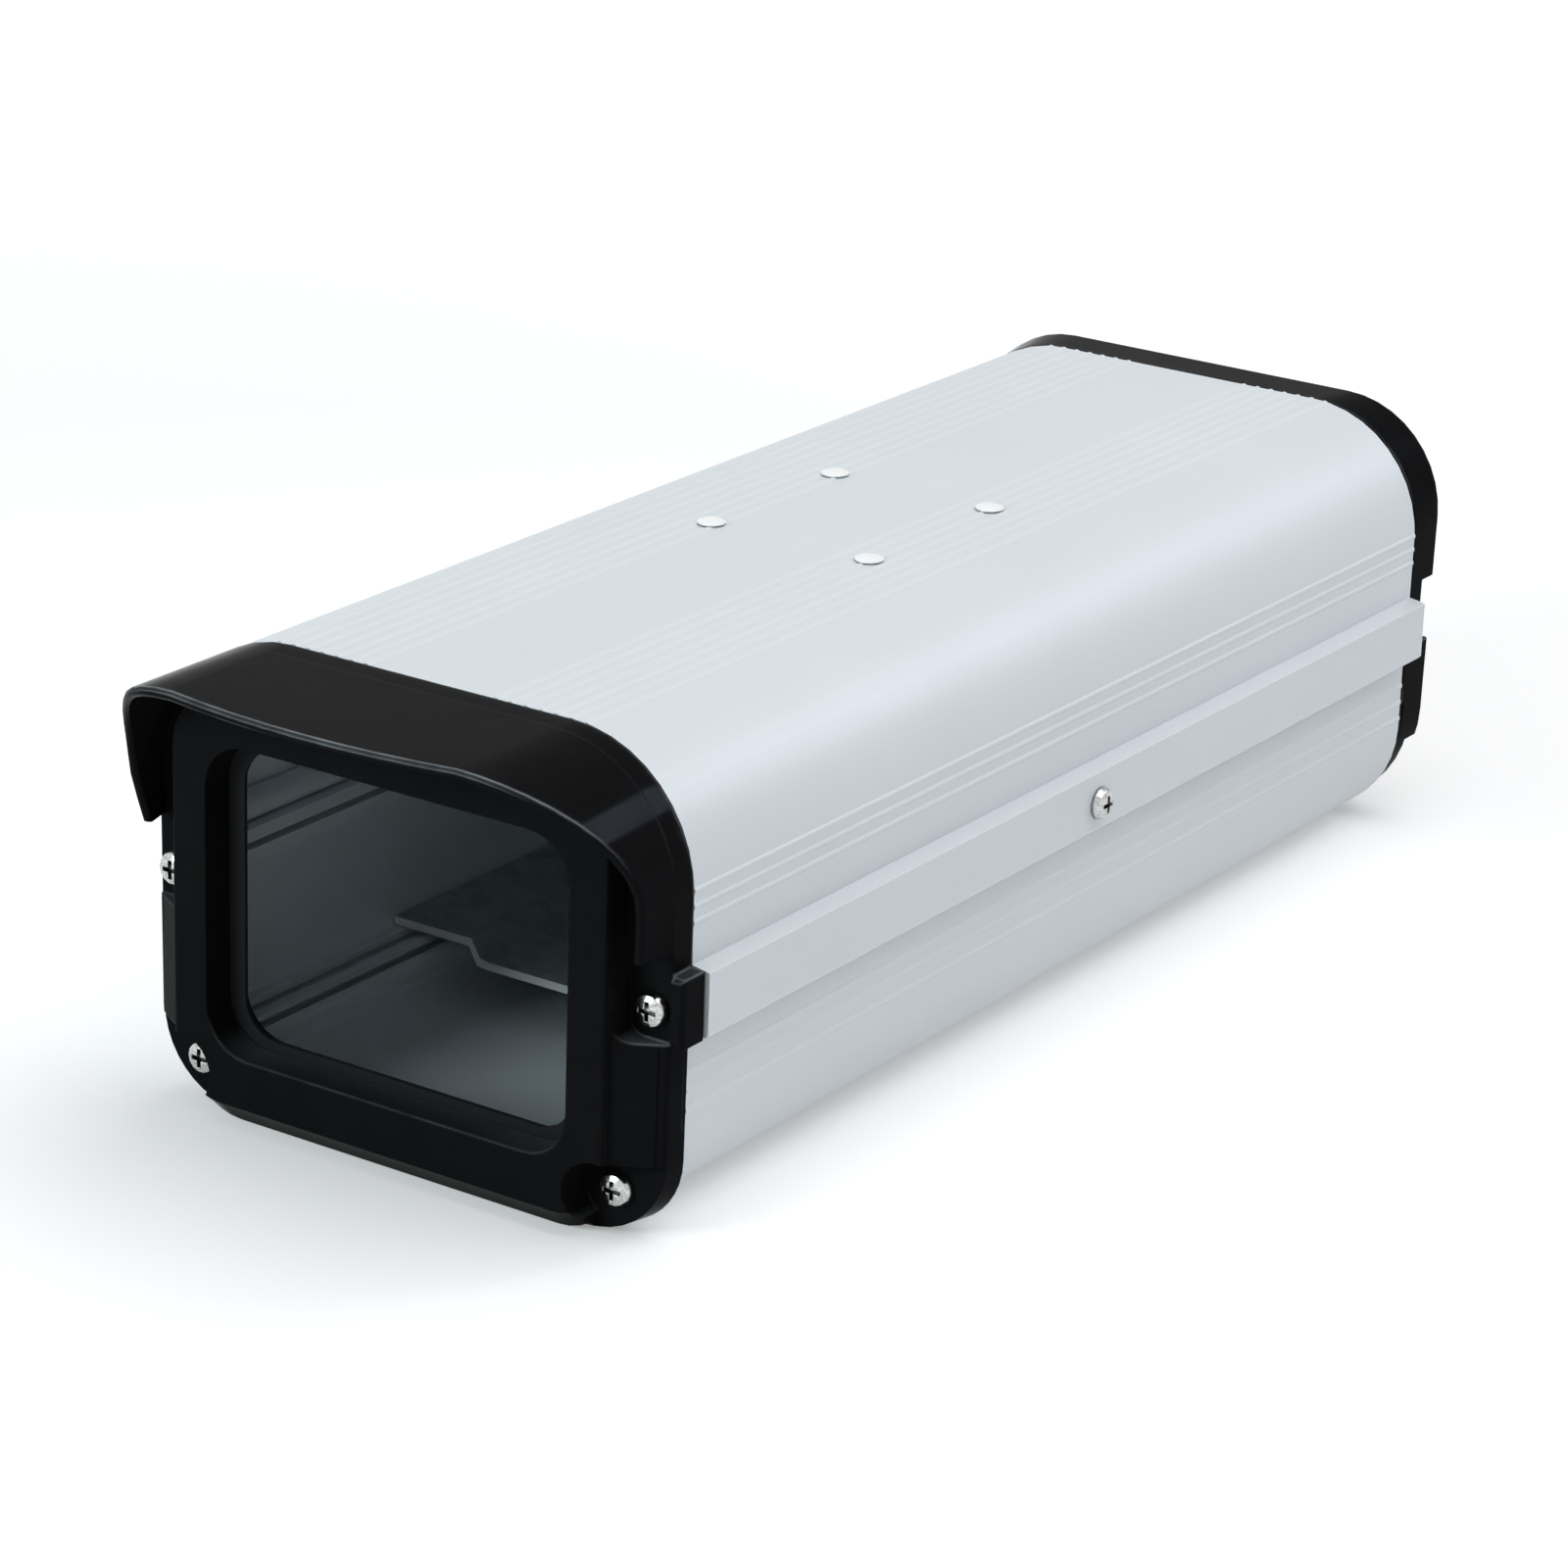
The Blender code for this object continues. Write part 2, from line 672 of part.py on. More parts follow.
def bezel_outline(inset, low=BEZEL_LOW, low_r=BEZEL_R):
    return rounded(BEZEL_HALF - inset, low + inset, BEZEL_TOP - inset,
                   BEZEL_R - inset, low_r - inset)


def bezel_block():
    """The raised frame round the window; its underside slopes back to the flange."""
    skirt = bezel_outline(0.0, 0.1, BEZEL_ROOT_R)
    stations = [(FLANGE_Y + 1.6, skirt), (BEVEL_Y, skirt)]
    ease = 1.3
    for turn in (0, 45, 90):
        a = math.radians(turn)
        inset = ease * (1 - math.cos(a))
        stations.append((BEZEL_Y + ease * (1 - math.sin(a)), bezel_outline(inset)))
    return along_y(stations)


def ear_block():
    """Covers the end of the lid's skirt."""
    ease = 0.8
    x0, x1 = HALF_W - 1.5, EAR_OUT
    front = [(x0, EAR_LOW + ease), (x1 - ease, EAR_LOW + ease),
             (x1 - ease, EAR_TOP - ease), (x0, EAR_TOP - ease)]
    full = [(x0, EAR_LOW), (x1, EAR_LOW), (x1, EAR_TOP), (x0, EAR_TOP)]
    return along_y([(-GAP, full), (FLANGE_Y + ease, full), (FLANGE_Y, front)])


def side_panel(side):
    """The face beside the bezel, which falls back to the flange's edge between the pockets."""
    inner, edge, ease = BEZEL_HALF - 3.2, HALF_W - 1.6, 0.4
    slope = (BEZEL_T - ease - FLANGE_T) / (edge - inner)
    shape = [(inner, BEZEL_Y + ease), (edge + 3.0, FLANGE_Y + 3.0 * slope),
             (edge + 3.0, FLANGE_Y + 3.4), (inner, FLANGE_Y + 3.4)]
    if side < 0:
        shape = mirrored(shape)
    word = "right" if side > 0 else "left"
    panel = cutter(f"side_panel_{word}", along_z([(CORNER_Z - 1.0, shape), (PORT_Z + 1.0, shape)]))
    within = front_outline(1.9)
    bounds = cutter(f"panel_bounds_{word}", along_y([(BEZEL_Y - 1.0, within), (0.0, within)]))
    combine(panel, bounds, "INTERSECT")
    return panel


def side_pocket(side, ear):
    """Room for a middle screw's head, round at its lower inner corner."""
    out = HALF_W + 0.5 if ear else HALF_W + 6.0
    inner, soft = BEZEL_HALF - 0.1, 4.0
    shape = arc(inner + soft, POCKET_LOW + soft, soft, 180, 270, 5)
    shape += [(out, POCKET_LOW), (out, HOOD_LOW - 0.6), (inner, HOOD_LOW - 0.6)]
    if side < 0:
        shape = mirrored(shape)
    return along_y([(BEZEL_Y - 8.0, shape), (POCKET_Y, shape)])


def corner_pocket(side, ledge, y0, y1):
    """Room for a lower screw's head, open to the corner, round on its inner side."""
    shape = arc(CORNER_X, CORNER_Z, POCKET_R, 85, 232, 12)
    shape += [(CORNER_X - 6.0, -6.0), (HALF_W + 8.0, -6.0), (HALF_W + 8.0, ledge)]
    shape += [(CORNER_X + 5.0, ledge)]
    if side < 0:
        shape = mirrored(shape)
    return along_y([(y0, shape), (y1, shape)])


def screw_places():
    return [(side * x, z, name) for side, word in ((-1, "left"), (1, "right"))
            for x, z, name in ((PORT_X, PORT_Z, f"mid_{word}"), (CORNER_X, CORNER_Z, f"low_{word}"))]


def hollow_back(name, y0, y1, outline, keep):
    """The hollow behind an end cover's face, less the solids in keep."""
    bm = along_y([(y0, outline(4.4)), (y1, outline(4.4))])
    obj = cutter(name, bm)
    for other in keep:
        combine(obj, other)
    return obj


def seal_groove(name, y0, y1):
    """The groove that holds an end gasket."""
    extra = 0.3
    outer = seal_outline(-extra)
    inner = seal_outline(SEAL_W + extra)
    ring = cutter(name, along_y([(y0, outer), (y1, outer)]))
    core = cutter(f"{name}_core", along_y([(y0 - 1.0, inner), (y1 + 1.0, inner)]))
    combine(ring, core)
    return ring


def seal_outline(inset):
    half = SEAL_OUT - inset
    top = HEIGHT - (HALF_W - SEAL_OUT) - inset
    r_top = TOP_R - (HALF_W - SEAL_OUT) - inset
    return rounded(half, 0.8 + inset, top, r_top, TRAY_R - 0.8 - inset, 7)


def make_front_cover():
    """The skilled piece: flange, raised bezel, hood, ear, screw pockets and window recess."""
    flange = edge_rounded(FLANGE_Y, -GAP, 1.8, front_outline)
    flange[0] = (-GAP, cover_outline(0.0, FRONT_LOW_R_SEAM))
    obj = finish("front_cover", along_y(flange), black_moulding(), 32)
    combine(obj, cutter("bezel_block", bezel_block()), "UNION")
    combine(obj, cutter("hood_block", make_hood()), "UNION")
    for side in (-1, 1):
        combine(obj, side_panel(side), "UNION")
    combine(obj, cutter("ear_block", ear_block()), "UNION")
    flare = 0.3
    mouth = along_y([(BEZEL_Y - 1.0, sight_outline(MOUTH_MARGIN + 2 * flare)),
                     (BEZEL_Y + flare, sight_outline(MOUTH_MARGIN)),
                     (LIP_BACK + 1.0, sight_outline(MOUTH_MARGIN))])
    combine(obj, cutter("window_mouth", mouth))
    seat = sight_outline(GLASS_MARGIN + GAP)
    combine(obj, cutter("glass_seat", along_y([(LIP_BACK, seat), (4.0, seat)])))
    for side in (-1, 1):
        word = "right" if side > 0 else "left"
        pocket = side_pocket(side, side > 0)
        combine(obj, cutter(f"mid_pocket_{word}", pocket))
        corner = corner_pocket(side, LEDGE_Z, BEZEL_Y - 8.0, POCKET_Y)
        combine(obj, cutter(f"low_pocket_{word}", corner))
    wall = sight_outline(GLASS_MARGIN + GAP + 2.6)
    keep = [cutter("window_wall", along_y([(POCKET_Y, wall), (2.0, wall)]))]
    for x, z, name in screw_places():
        boss = disc(x, z, BOSS_R + 0.6)
        keep.append(cutter(f"front_boss_{name}", along_y([(POCKET_Y, boss), (2.0, boss)])))
    combine(obj, hollow_back("front_hollow", POCKET_Y + 2.4, 1.0, front_outline, keep))
    for x, z, name in screw_places():
        hole = disc(x, z, SHANK_R + GAP, 18)
        combine(obj, cutter(f"front_hole_{name}", along_y([(FLANGE_Y - 1.0, hole), (1.0, hole)])))
    combine(obj, seal_groove("front_groove", -GAP - SEAL_T, 1.0))
    return obj


def make_window():
    glass_front = LIP_BACK + GAP + GASKET_T + GAP
    outer = sight_outline(GLASS_MARGIN)
    glass = along_y([(glass_front, outer), (glass_front + GLASS_T, outer)])
    finish("window_glass", glass, clear_glass())
    gasket = along_y([(LIP_BACK + GAP, outer), (LIP_BACK + GAP + GASKET_T, outer)])
    ring = finish("window_gasket", gasket, rubber())
    sight = sight_outline(0.0)
    combine(ring, cutter("gasket_sight", along_y([(LIP_BACK - 4.0, sight), (0.0, sight)])))
    back = glass_front + GLASS_T + GAP
    frame = along_y([(back, outer), (back + RETAINER_T, outer)])
    retainer = finish("window_retainer", frame, nylon())
    view = sight_outline(RETAINER_MARGIN)
    combine(retainer, cutter("retainer_sight", along_y([(back - 2.0, view), (4.0, view)])))


def make_end_gasket(name, y0, y1):
    outer = seal_outline(0.0)
    ring = finish(name, along_y([(y0, outer), (y1, outer)]), rubber())
    inner = seal_outline(SEAL_W)
    combine(ring, cutter(f"{name}_core", along_y([(y0 - 1.0, inner), (y1 + 1.0, inner)])))


# Rear cover


def make_rear_cover():
    back = LENGTH + REAR_DEPTH
    ease = 0.7
    stations = [(LENGTH + GAP, rear_outline(0.0)), (back - ease, rear_outline(0.0, REAR_TIGHT)),
                (back, rear_outline(ease, REAR_TIGHT))]
    obj = finish("rear_cover", along_y(stations), black_moulding(), 32)
    floor = LENGTH + REAR_FLOOR
    keep = []
    for side in (-1, 1):
        word = "right" if side > 0 else "left"
        out = HALF_W + 6.0
        shape = [(BEZEL_HALF, REAR_POCKET_LOW), (out, REAR_POCKET_LOW),
                 (out, REAR_POCKET_TOP + 5.0), (HALF_W - 4.0, REAR_POCKET_TOP),
                 (BEZEL_HALF, REAR_POCKET_TOP)]
        thick = [(BEZEL_HALF - 2.4, REAR_POCKET_LOW - 2.4), (out, REAR_POCKET_LOW - 2.4),
                 (out, REAR_POCKET_TOP + 7.4), (HALF_W - 4.0, REAR_POCKET_TOP + 2.4),
                 (BEZEL_HALF - 2.4, REAR_POCKET_TOP + 2.4)]
        if side < 0:
            shape, thick = mirrored(shape), mirrored(thick)
        pocket = along_y([(floor, shape), (back + 3.0, shape)])
        combine(obj, cutter(f"rear_mid_pocket_{word}", pocket))
        keep.append(cutter(f"rear_mid_wall_{word}",
                           along_y([(floor - 2.4, thick), (back + 3.0, thick)])))
        corner = corner_pocket(side, REAR_CORNER_TOP, floor, back + 3.0)
        combine(obj, cutter(f"rear_low_pocket_{word}", corner))
        around = [(CORNER_X - 10.8, -6.0), (HALF_W + 8.0, -6.0),
                  (HALF_W + 8.0, REAR_CORNER_TOP + 3.4), (CORNER_X - 10.8, REAR_CORNER_TOP + 3.4)]
        if side < 0:
            around = mirrored(around)
        keep.append(cutter(f"rear_low_wall_{word}",
                           along_y([(floor - 2.4, around), (back + 3.0, around)])))
    for x, z, name in screw_places():
        boss = disc(x, z, BOSS_R + 0.6)
        keep.append(cutter(f"rear_boss_{name}",
                           along_y([(LENGTH - 2.0, boss), (floor, boss)])))
    combine(obj, hollow_back("rear_hollow", LENGTH - 1.0, back - REAR_SKIN, rear_outline, keep))
    for x, z, name in screw_places():
        hole = disc(x, z, SHANK_R + GAP, 18)
        combine(obj, cutter(f"rear_hole_{name}",
                            along_y([(LENGTH - 1.0, hole), (floor + 1.0, hole)])))
    for side in (-1, 1):
        hole = disc(side * GLAND_X, GLAND_Z, GLAND_THREAD_R + GAP)
        combine(obj, cutter(f"gland_hole_{side}",
                            along_y([(back - 8.0, hole), (back + 2.0, hole)])))
    combine(obj, seal_groove("rear_groove", LENGTH - 1.0, LENGTH + GAP + SEAL_T))
    return obj


# Screws and small pieces, turned about a local axis


def turned(profile, steps=20):
    """A solid turned about local Z from (radius, height) points; radius 0 closes an end."""
    bm = bmesh.new()
    rings = []
    for r, h in profile:
        if r < 1e-6:
            rings.append([bm.verts.new((0.0, 0.0, h))])
            continue
        rings.append([
            bm.verts.new((r * math.cos(math.tau * i / steps), r * math.sin(math.tau * i / steps), h))
            for i in range(steps)
        ])
    for a, b in zip(rings, rings[1:]):
        for i in range(steps):
            j = (i + 1) % steps
            corners = [a[i % len(a)], a[j % len(a)], b[j % len(b)], b[i % len(b)]]
            unique = list(dict.fromkeys(corners))
            if len(unique) > 2:
                bm.faces.new(unique)
    return bm


def tube(profile, steps=18):
    """A turned ring: the profile is a closed loop that doesn't reach the axis."""
    bm = bmesh.new()
    rings = [[
        bm.verts.new((r * math.cos(math.tau * i / steps), r * math.sin(math.tau * i / steps), h))
        for i in range(steps)] for r, h in profile]
    for k, ring in enumerate(rings):
        after = rings[(k + 1) % len(rings)]
        for i in range(steps):
            j = (i + 1) % steps
            bm.faces.new((ring[i], ring[j], after[j], after[i]))
    return bm


def placed(bm, at, direction):
    """Turns local +Z to direction and moves the shape to at."""
    turn = Vector((0, 0, 1)).rotation_difference(Vector(direction)).to_matrix().to_4x4()
    bmesh.ops.transform(bm, matrix=Matrix.Translation(Vector(at)) @ turn, verts=bm.verts)
    return bm


def pan_profile(head_r, head_h, shank_r, length):
    """Tip first, then the shank, the flat under the head and its domed top."""
    points = [(0.0, -length), (shank_r * 0.7, -length), (shank_r, -length + 0.8), (shank_r, 0.0)]
    points += [(head_r, 0.0), (head_r, head_h * 0.3)]
    points += [(head_r * 0.86, head_h * 0.72), (head_r * 0.52, head_h * 0.96), (0.0, head_h)]
    return points


def make_screw(name, at, direction, length, mat, head_r=HEAD_R, head_h=HEAD_H, shank_r=SHANK_R,
               steps=14, crossed=True):
    """A pan-head screw with a cross recess; at is the middle of the flat under its head."""
    bm = placed(turned(pan_profile(head_r, head_h, shank_r, length), steps), at, direction)
    obj = finish(name, bm, mat, 35, at)
    if not crossed:
        return obj
    arm = head_r * 0.58
    half = head_r * 0.14
    deep = head_h * 0.6
    cross = []
    for i in range(4):
        a = math.radians(90 * i)
        for u, v in ((arm, -half), (arm, half), (half, half)):
            cross.append((u * math.cos(a) - v * math.sin(a), u * math.sin(a) + v * math.cos(a)))
    shape = loft([[(x * k, y * k, h) for x, y in cross]
                  for h, k in ((head_h - deep, 0.72), (head_h + 1.0, 1.15))])
    combine(obj, cutter(f"{name}_cross", placed(shape, at, direction)))
    return obj


def make_cover_screws():
    for x, z, name in screw_places():
        front = (x, POCKET_Y - GAP, z)
        make_screw(f"front_screw_{name}", front, (0, -1, 0), COVER_SCREW_LEN, bright_steel())
        rear = (x, LENGTH + REAR_FLOOR + GAP, z)
        make_screw(f"rear_screw_{name}", rear, (0, 1, 0), COVER_SCREW_LEN, bright_steel())


def plug_places():
    return [(x, y) for x in PLUG_XS for y in PLUG_YS]


def make_plugs():
    """Low domed plugs in the lid's top."""
    seat = HEIGHT + LINE_H + 0.1
    profile = [(0.0, -PLUG_STEM), (PLUG_STEM_R, -PLUG_STEM), (PLUG_STEM_R, 0.0),
               (PLUG_R, 0.0), (PLUG_R, PLUG_H * 0.3), (PLUG_R * 0.7, PLUG_H * 0.8),
               (0.0, PLUG_H)]
    for i, (x, y) in enumerate(plug_places()):
        bm = placed(turned(profile, 16), (x, y, seat), (0, 0, 1))
        finish(f"top_plug_{i + 1}", bm, anodised(), 35, (x, y, seat))


def plate_section():
    """The bent camera plate: two wings on the rails and a lower middle."""
    top = [(-PLATE_HALF, WING_TOP), (-WING_IN, WING_TOP), (-STEP_X, MID_TOP + 0.5), (-MID_X, MID_TOP)]
    top += [(-x, z) for x, z in reversed(top)]
    under = [(-PLATE_HALF, WING_TOP - PLATE_T), (-WING_IN - 0.7, WING_TOP - PLATE_T),
             (-STEP_X - 0.9, MID_TOP + 0.4 - PLATE_T), (-MID_X - 0.2, MID_TOP - PLATE_T)]
    under += [(-x, z) for x, z in reversed(under)]
    return top + list(reversed(under))


def slot_shape(x, y0, y1, half, steps=8):
    points = [(x + half * math.cos(math.pi * i / steps), y1 + half * math.sin(math.pi * i / steps))
              for i in range(steps + 1)]
    points += [(x - half * math.cos(math.pi * i / steps), y0 - half * math.sin(math.pi * i / steps))
               for i in range(steps + 1)]
    return points


def plate_slots():
    """The camera screw's slot and two pairs of side slots, as (x, y0, y1, half width)."""
    slots = [(0.0, CAMERA_SLOT_FRONT, CAMERA_SLOT_BACK, CAMERA_SLOT_HALF)]
    front = CAMERA_SLOT_FRONT + SIDE_SLOT_IN
    back = CAMERA_SLOT_BACK - SIDE_SLOT_IN
    for x in (-SIDE_SLOT_X, SIDE_SLOT_X):
        slots.append((x, front, front + SIDE_SLOT_LEN, SIDE_SLOT_HALF))
        slots.append((x, back - SIDE_SLOT_LEN, back, SIDE_SLOT_HALF))
    return slots


def make_camera_plate():
    section = plate_section()
    obj = finish("camera_plate", along_y([(PLATE_Y0, section), (PLATE_Y1, section)]), sheet_metal())
    low, high = MID_TOP - PLATE_T - 2.0, MID_TOP + 2.0
    for i, (x, y0, y1, half) in enumerate(plate_slots()):
        shape = slot_shape(x, y0, y1, half)
        combine(obj, cutter(f"plate_slot_{i}", along_z([(low, shape), (high, shape)])))
    for side in (-1, 1):
        for i, y in enumerate(PLATE_SCREW_YS):
            hole = disc(side * PLATE_SCREW_X, y, PLATE_SHANK_R + GAP, 14)
            deep = along_z([(WING_TOP - 4.0, hole), (WING_TOP + 2.0, hole)])
            combine(obj, cutter(f"wing_hole_{side}_{i}", deep))
    return obj


def make_inner_screws():
    for side, word in ((-1, "left"), (1, "right")):
        for y, end in zip(PLATE_SCREW_YS, ("front", "rear")):
            at = (side * PLATE_SCREW_X, y, WING_TOP + GAP)
            make_screw(f"plate_screw_{end}_{word}", at, (0, 0, 1), PLATE_SCREW_LEN,
                       bright_steel(), PLATE_HEAD_R, PLATE_HEAD_H, PLATE_SHANK_R, 10, False)
    make_screw("earth_screw", (EARTH_X, EARTH_Y, WALL + GAP), (0, 0, 1), WALL, brass(),
               EARTH_HEAD_R, EARTH_HEAD_H, SHANK_R, 12, False)


def make_camera_screw():
    """Knurled knob under the plate with a stud through the camera slot."""
    ease = 0.4
    profile = [(0.0, -KNOB_T), (KNOB_R - ease, -KNOB_T), (KNOB_R, ease - KNOB_T),
               (KNOB_R, -ease), (KNOB_R - ease, 0.0), (CAMERA_SCREW_R, 0.0),
               (CAMERA_SCREW_R, CAMERA_SCREW_RISE - 2 * ease),
               (CAMERA_SCREW_R - 1.5 * ease, CAMERA_SCREW_RISE), (0.0, CAMERA_SCREW_RISE)]
    at = (0.0, CAMERA_Y, MID_TOP - PLATE_T - GAP)
    bm = placed(turned(profile, 16), at, (0, 0, 1))
    finish("camera_screw", bm, bright_steel(), 35, at)


def make_bushes():
    """Threaded bushes for a wall bracket, pressed in from inside."""
    for y, word in zip(BUSH_YS, ("front", "middle", "rear")):
        seat = WALL + GAP
        profile = [(BUSH_BORE_R, 0.1), (BUSH_R, 0.1), (BUSH_R, seat), (BUSH_FLANGE_R, seat),
                   (BUSH_FLANGE_R, seat + BUSH_FLANGE_T), (BUSH_R, seat + BUSH_FLANGE_T),
                   (BUSH_R, WALL + BUSH_RISE), (BUSH_BORE_R, WALL + BUSH_RISE)]
        bm = placed(tube(profile, 14), (0.0, y, 0.0), (0, 0, 1))
        finish(f"bracket_bush_{word}", bm, brass(), 35, (0.0, y, 0.0))


def make_lock_screw():
    """Threads through the skirt; its point bears on the tray's wall behind."""
    reach = SKIRT_OUT + 0.1 - (TRAY_HALF + GAP)
    at = (SKIRT_OUT + 0.1, LOCK_Y, LOCK_Z)
    return make_screw("lock_screw", at, (1, 0, 0), reach, bright_steel(),
                      LOCK_HEAD_R, LOCK_HEAD_H, LOCK_STEM_R)


def hexagon(r):
    return [(r * math.cos(math.radians(60 * i + 30)), r * math.sin(math.radians(60 * i + 30)))
            for i in range(6)]


def ring_of(outline, bore, y0, y1, x, name, mat, smooth=None):
    """A piece with an outline about a gland's axis and a round bore through it."""
    shape = [(x + u, GLAND_Z + v) for u, v in outline]
    obj = finish(name, along_y([(y0, shape), (y1, shape)]), mat, smooth, (x, y0, GLAND_Z))
    hole = disc(x, GLAND_Z, bore, 20)
    combine(obj, cutter(f"{name}_bore", along_y([(y0 - 1.0, hole), (y1 + 1.0, hole)])))
    return obj


def make_gland(side, word):
    """Body through the rear cover with its nut inside, and the cap and seal outside."""
    x = side * GLAND_X
    face = LENGTH + REAR_DEPTH
    collar = (x, face + GAP, GLAND_Z)
    neck = COLLAR_T + NECK_LEN
    body = [(GLAND_BORE_R, -GLAND_INSIDE), (GLAND_THREAD_R, -GLAND_INSIDE),
            (GLAND_THREAD_R, 0.0), (COLLAR_R, 0.0), (COLLAR_R, COLLAR_T), (NECK_R, COLLAR_T),
            (NECK_R, neck), (GLAND_BORE_R + 0.8, neck), (GLAND_BORE_R, neck - 2.5)]
    finish(f"gland_body_{word}", placed(tube(body, 16), collar, (0, 1, 0)), nylon(), 35, collar)
    nut_y1 = face - REAR_SKIN - GAP
    ring_of(hexagon(NUT_R), GLAND_THREAD_R + GAP, nut_y1 - NUT_T, nut_y1, x,
            f"gland_nut_{word}", nylon())
    start = COLLAR_T + GAP
    end = start + CAP_LEN
    inner = NECK_R + GAP
    cap = [(inner, start), (CAP_R - 0.5, start), (CAP_R, start + 0.6), (CAP_R, end - 7.3),
           (CAP_R - 1.8, end - 2.3), (CAP_MOUTH_R + 1.7, end - 0.3), (CAP_MOUTH_R, end),
           (CAP_MOUTH_R, end - 2.8), (inner, end - 6.4)]
    finish(f"gland_cap_{word}", placed(tube(cap, 16), collar, (0, 1, 0)), nylon(), 35, collar)
    around = GLAND_BORE_R - GAP
    seal = [(CABLE_R, 1.0), (around, 1.0), (around, neck - 2.9), (CABLE_R, neck - 2.9)]
    finish(f"gland_seal_{word}", placed(tube(seal, 16), collar, (0, 1, 0)), rubber(), 35, collar)


def main():
    clear_scene()
    pivot = (HINGE_X, LENGTH / 2, HINGE_Z)
    make_lower_shell()
    make_upper_shell(pivot)
    make_lid_seal()
    make_front_cover()
    make_window()
    make_end_gasket("front_gasket", -GAP - SEAL_T + 0.3, -GAP)
    make_rear_cover()
    make_end_gasket("rear_gasket", LENGTH + GAP, LENGTH + GAP + SEAL_T - 0.3)
    make_cover_screws()
    make_lock_screw()
    make_plugs()
    make_camera_plate()
    make_inner_screws()
    make_camera_screw()
    make_bushes()
    make_gland(-1, "left")
    make_gland(1, "right")


main()
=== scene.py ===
"""Finishes and studio stage for a side-opening camera housing.

Every finish is made from nodes in real millimetres, and each operator dresses one group of
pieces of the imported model. The panel in the sidebar lists them with the sizes and colours."""

import math

import bpy
from mathutils import Matrix, Quaternion, Vector


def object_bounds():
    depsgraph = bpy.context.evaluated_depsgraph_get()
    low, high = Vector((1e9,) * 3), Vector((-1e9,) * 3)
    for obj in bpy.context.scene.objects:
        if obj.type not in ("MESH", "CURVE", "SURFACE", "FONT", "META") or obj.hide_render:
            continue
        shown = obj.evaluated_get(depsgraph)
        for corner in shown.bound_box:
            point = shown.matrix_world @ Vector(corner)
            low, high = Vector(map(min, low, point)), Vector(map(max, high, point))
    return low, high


bl_info = {
    "name": "Camera housing finishes",
    "version": (1, 0, 0),
    "blender": (4, 5, 0),
    "location": "3D View > Sidebar > Housing",
    "description": "Dresses a camera housing in its real finishes and sets a studio stage",
    "category": "Object",
}

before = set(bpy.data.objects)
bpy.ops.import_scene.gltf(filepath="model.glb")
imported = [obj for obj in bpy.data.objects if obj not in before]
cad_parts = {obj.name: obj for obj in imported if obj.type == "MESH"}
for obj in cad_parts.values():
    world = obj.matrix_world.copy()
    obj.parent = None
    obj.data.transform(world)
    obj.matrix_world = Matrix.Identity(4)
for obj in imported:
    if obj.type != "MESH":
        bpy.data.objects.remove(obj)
cad_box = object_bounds()

MM = 0.001
WHITE = (1.0, 1.0, 1.0)

# Places of the Mix node's colour sockets, whose names its other kinds of mix share.
BASE, OVER, MIXED = 6, 7, 2

# Nearly all of a noise pattern lies between these values.
NOISE_SPAN = (0.3, 0.7)

# Widths of the patterns on the real pieces: clouds from the anodising bath, patches that
# handling leaves on gloss and glass, tarnish on brass and the fibre of the floor's paper.
BATH_CLOUD = 60 * MM
HANDLING = 9 * MM
TARNISH = 2 * MM
PAPER_FIBRE = 2 * MM

# These are under 0.3 mm wide on the real pieces and wouldn't show in the render, so they are
# drawn as coarse as they need to be. So are the die lines and the rubber's grit, which are
# among the settings.
SATIN_GRAIN = 0.5 * MM
PLUG_MARKS = 0.8 * MM
SCREW_MARKS = 0.5 * MM
NYLON_SPARK = 0.7 * MM

# Across an extrusion the die lines change 250 times as fast as along it, and the satin
# grain stands this high against them.
DIE_STRETCH = 1 / 250
GRAIN_SHARE = 0.35

# How far handling lowers and raises the covers' roughness.
HANDLED_ROUGHNESS = (0.92, 1.1)

# How wide the painted highlights on the extrusions' ridges and on the covers' edges are, and how
# far the painted shade reaches out of the extrusions' corners and out of a screw's cross.
RIDGE_HIGHLIGHT_EDGE = 0.5 * MM
HIGHLIGHT_EDGE = 1.2 * MM
ROOT_SHADE_REACH = 0.9 * MM
RECESS_SHADE_REACH = 1.5 * MM

# Cosines between a face and its rounded edge, from where an edge begins to where it is full.
EDGE_BEND = (0.995, 0.85)
# Shares of open sky, from a corner in full shelter to one in the open.
OPEN_SKY = (0.25, 0.8)
EDGE_SAMPLES = 6
SHELTER_SAMPLES = 8

# Parts of a face's direction along one axis, between which a mask changes.
TILTED_UP = (0.2, 0.5)
LEVEL = (0.6, 0.9)
TO_THE_FRONT = (-0.9, -0.6)

# The painted highlight on the covers' edges is full on the front cover's hood before HOOD_LIP on
# Y, and stronger on its ear beyond EAR on X.
HOOD_LIP = (-20 * MM, -17 * MM)
EAR = (60 * MM, 64 * MM)
EAR_HIGHLIGHT = 0.4

# How near a wall has to stand for a ledge to keep its lighter film, partly dust and partly
# painted light.
LEDGE_SHELTER = 25 * MM

# Edges under these angles are shaded smooth; the fine ridges of the extrusions stay crisp.
SMOOTH_ANGLE = 30
RIDGE_ANGLE = 14
WELD_DISTANCE = 0.002 * MM

# Where each lamp stands, what it points at and its two sides, in metres.
TOP_LAMP = (0.45, 0.25, 1.75), (0.0, 0.15, 0.05), (1.6, 1.6)
STRIP_LAMP = (0.80, 1.27, 0.91), (0.06, 0.0, 0.1), (0.42, 0.04)
FRONT_LAMP = (-0.55, -1.25, 0.62), (0.0, 0.0, 0.04), (0.7, 0.5)
# Degrees that lay the strip lamp's mirror image across the hood's rounded corner.
STRIP_TURN = 50.0

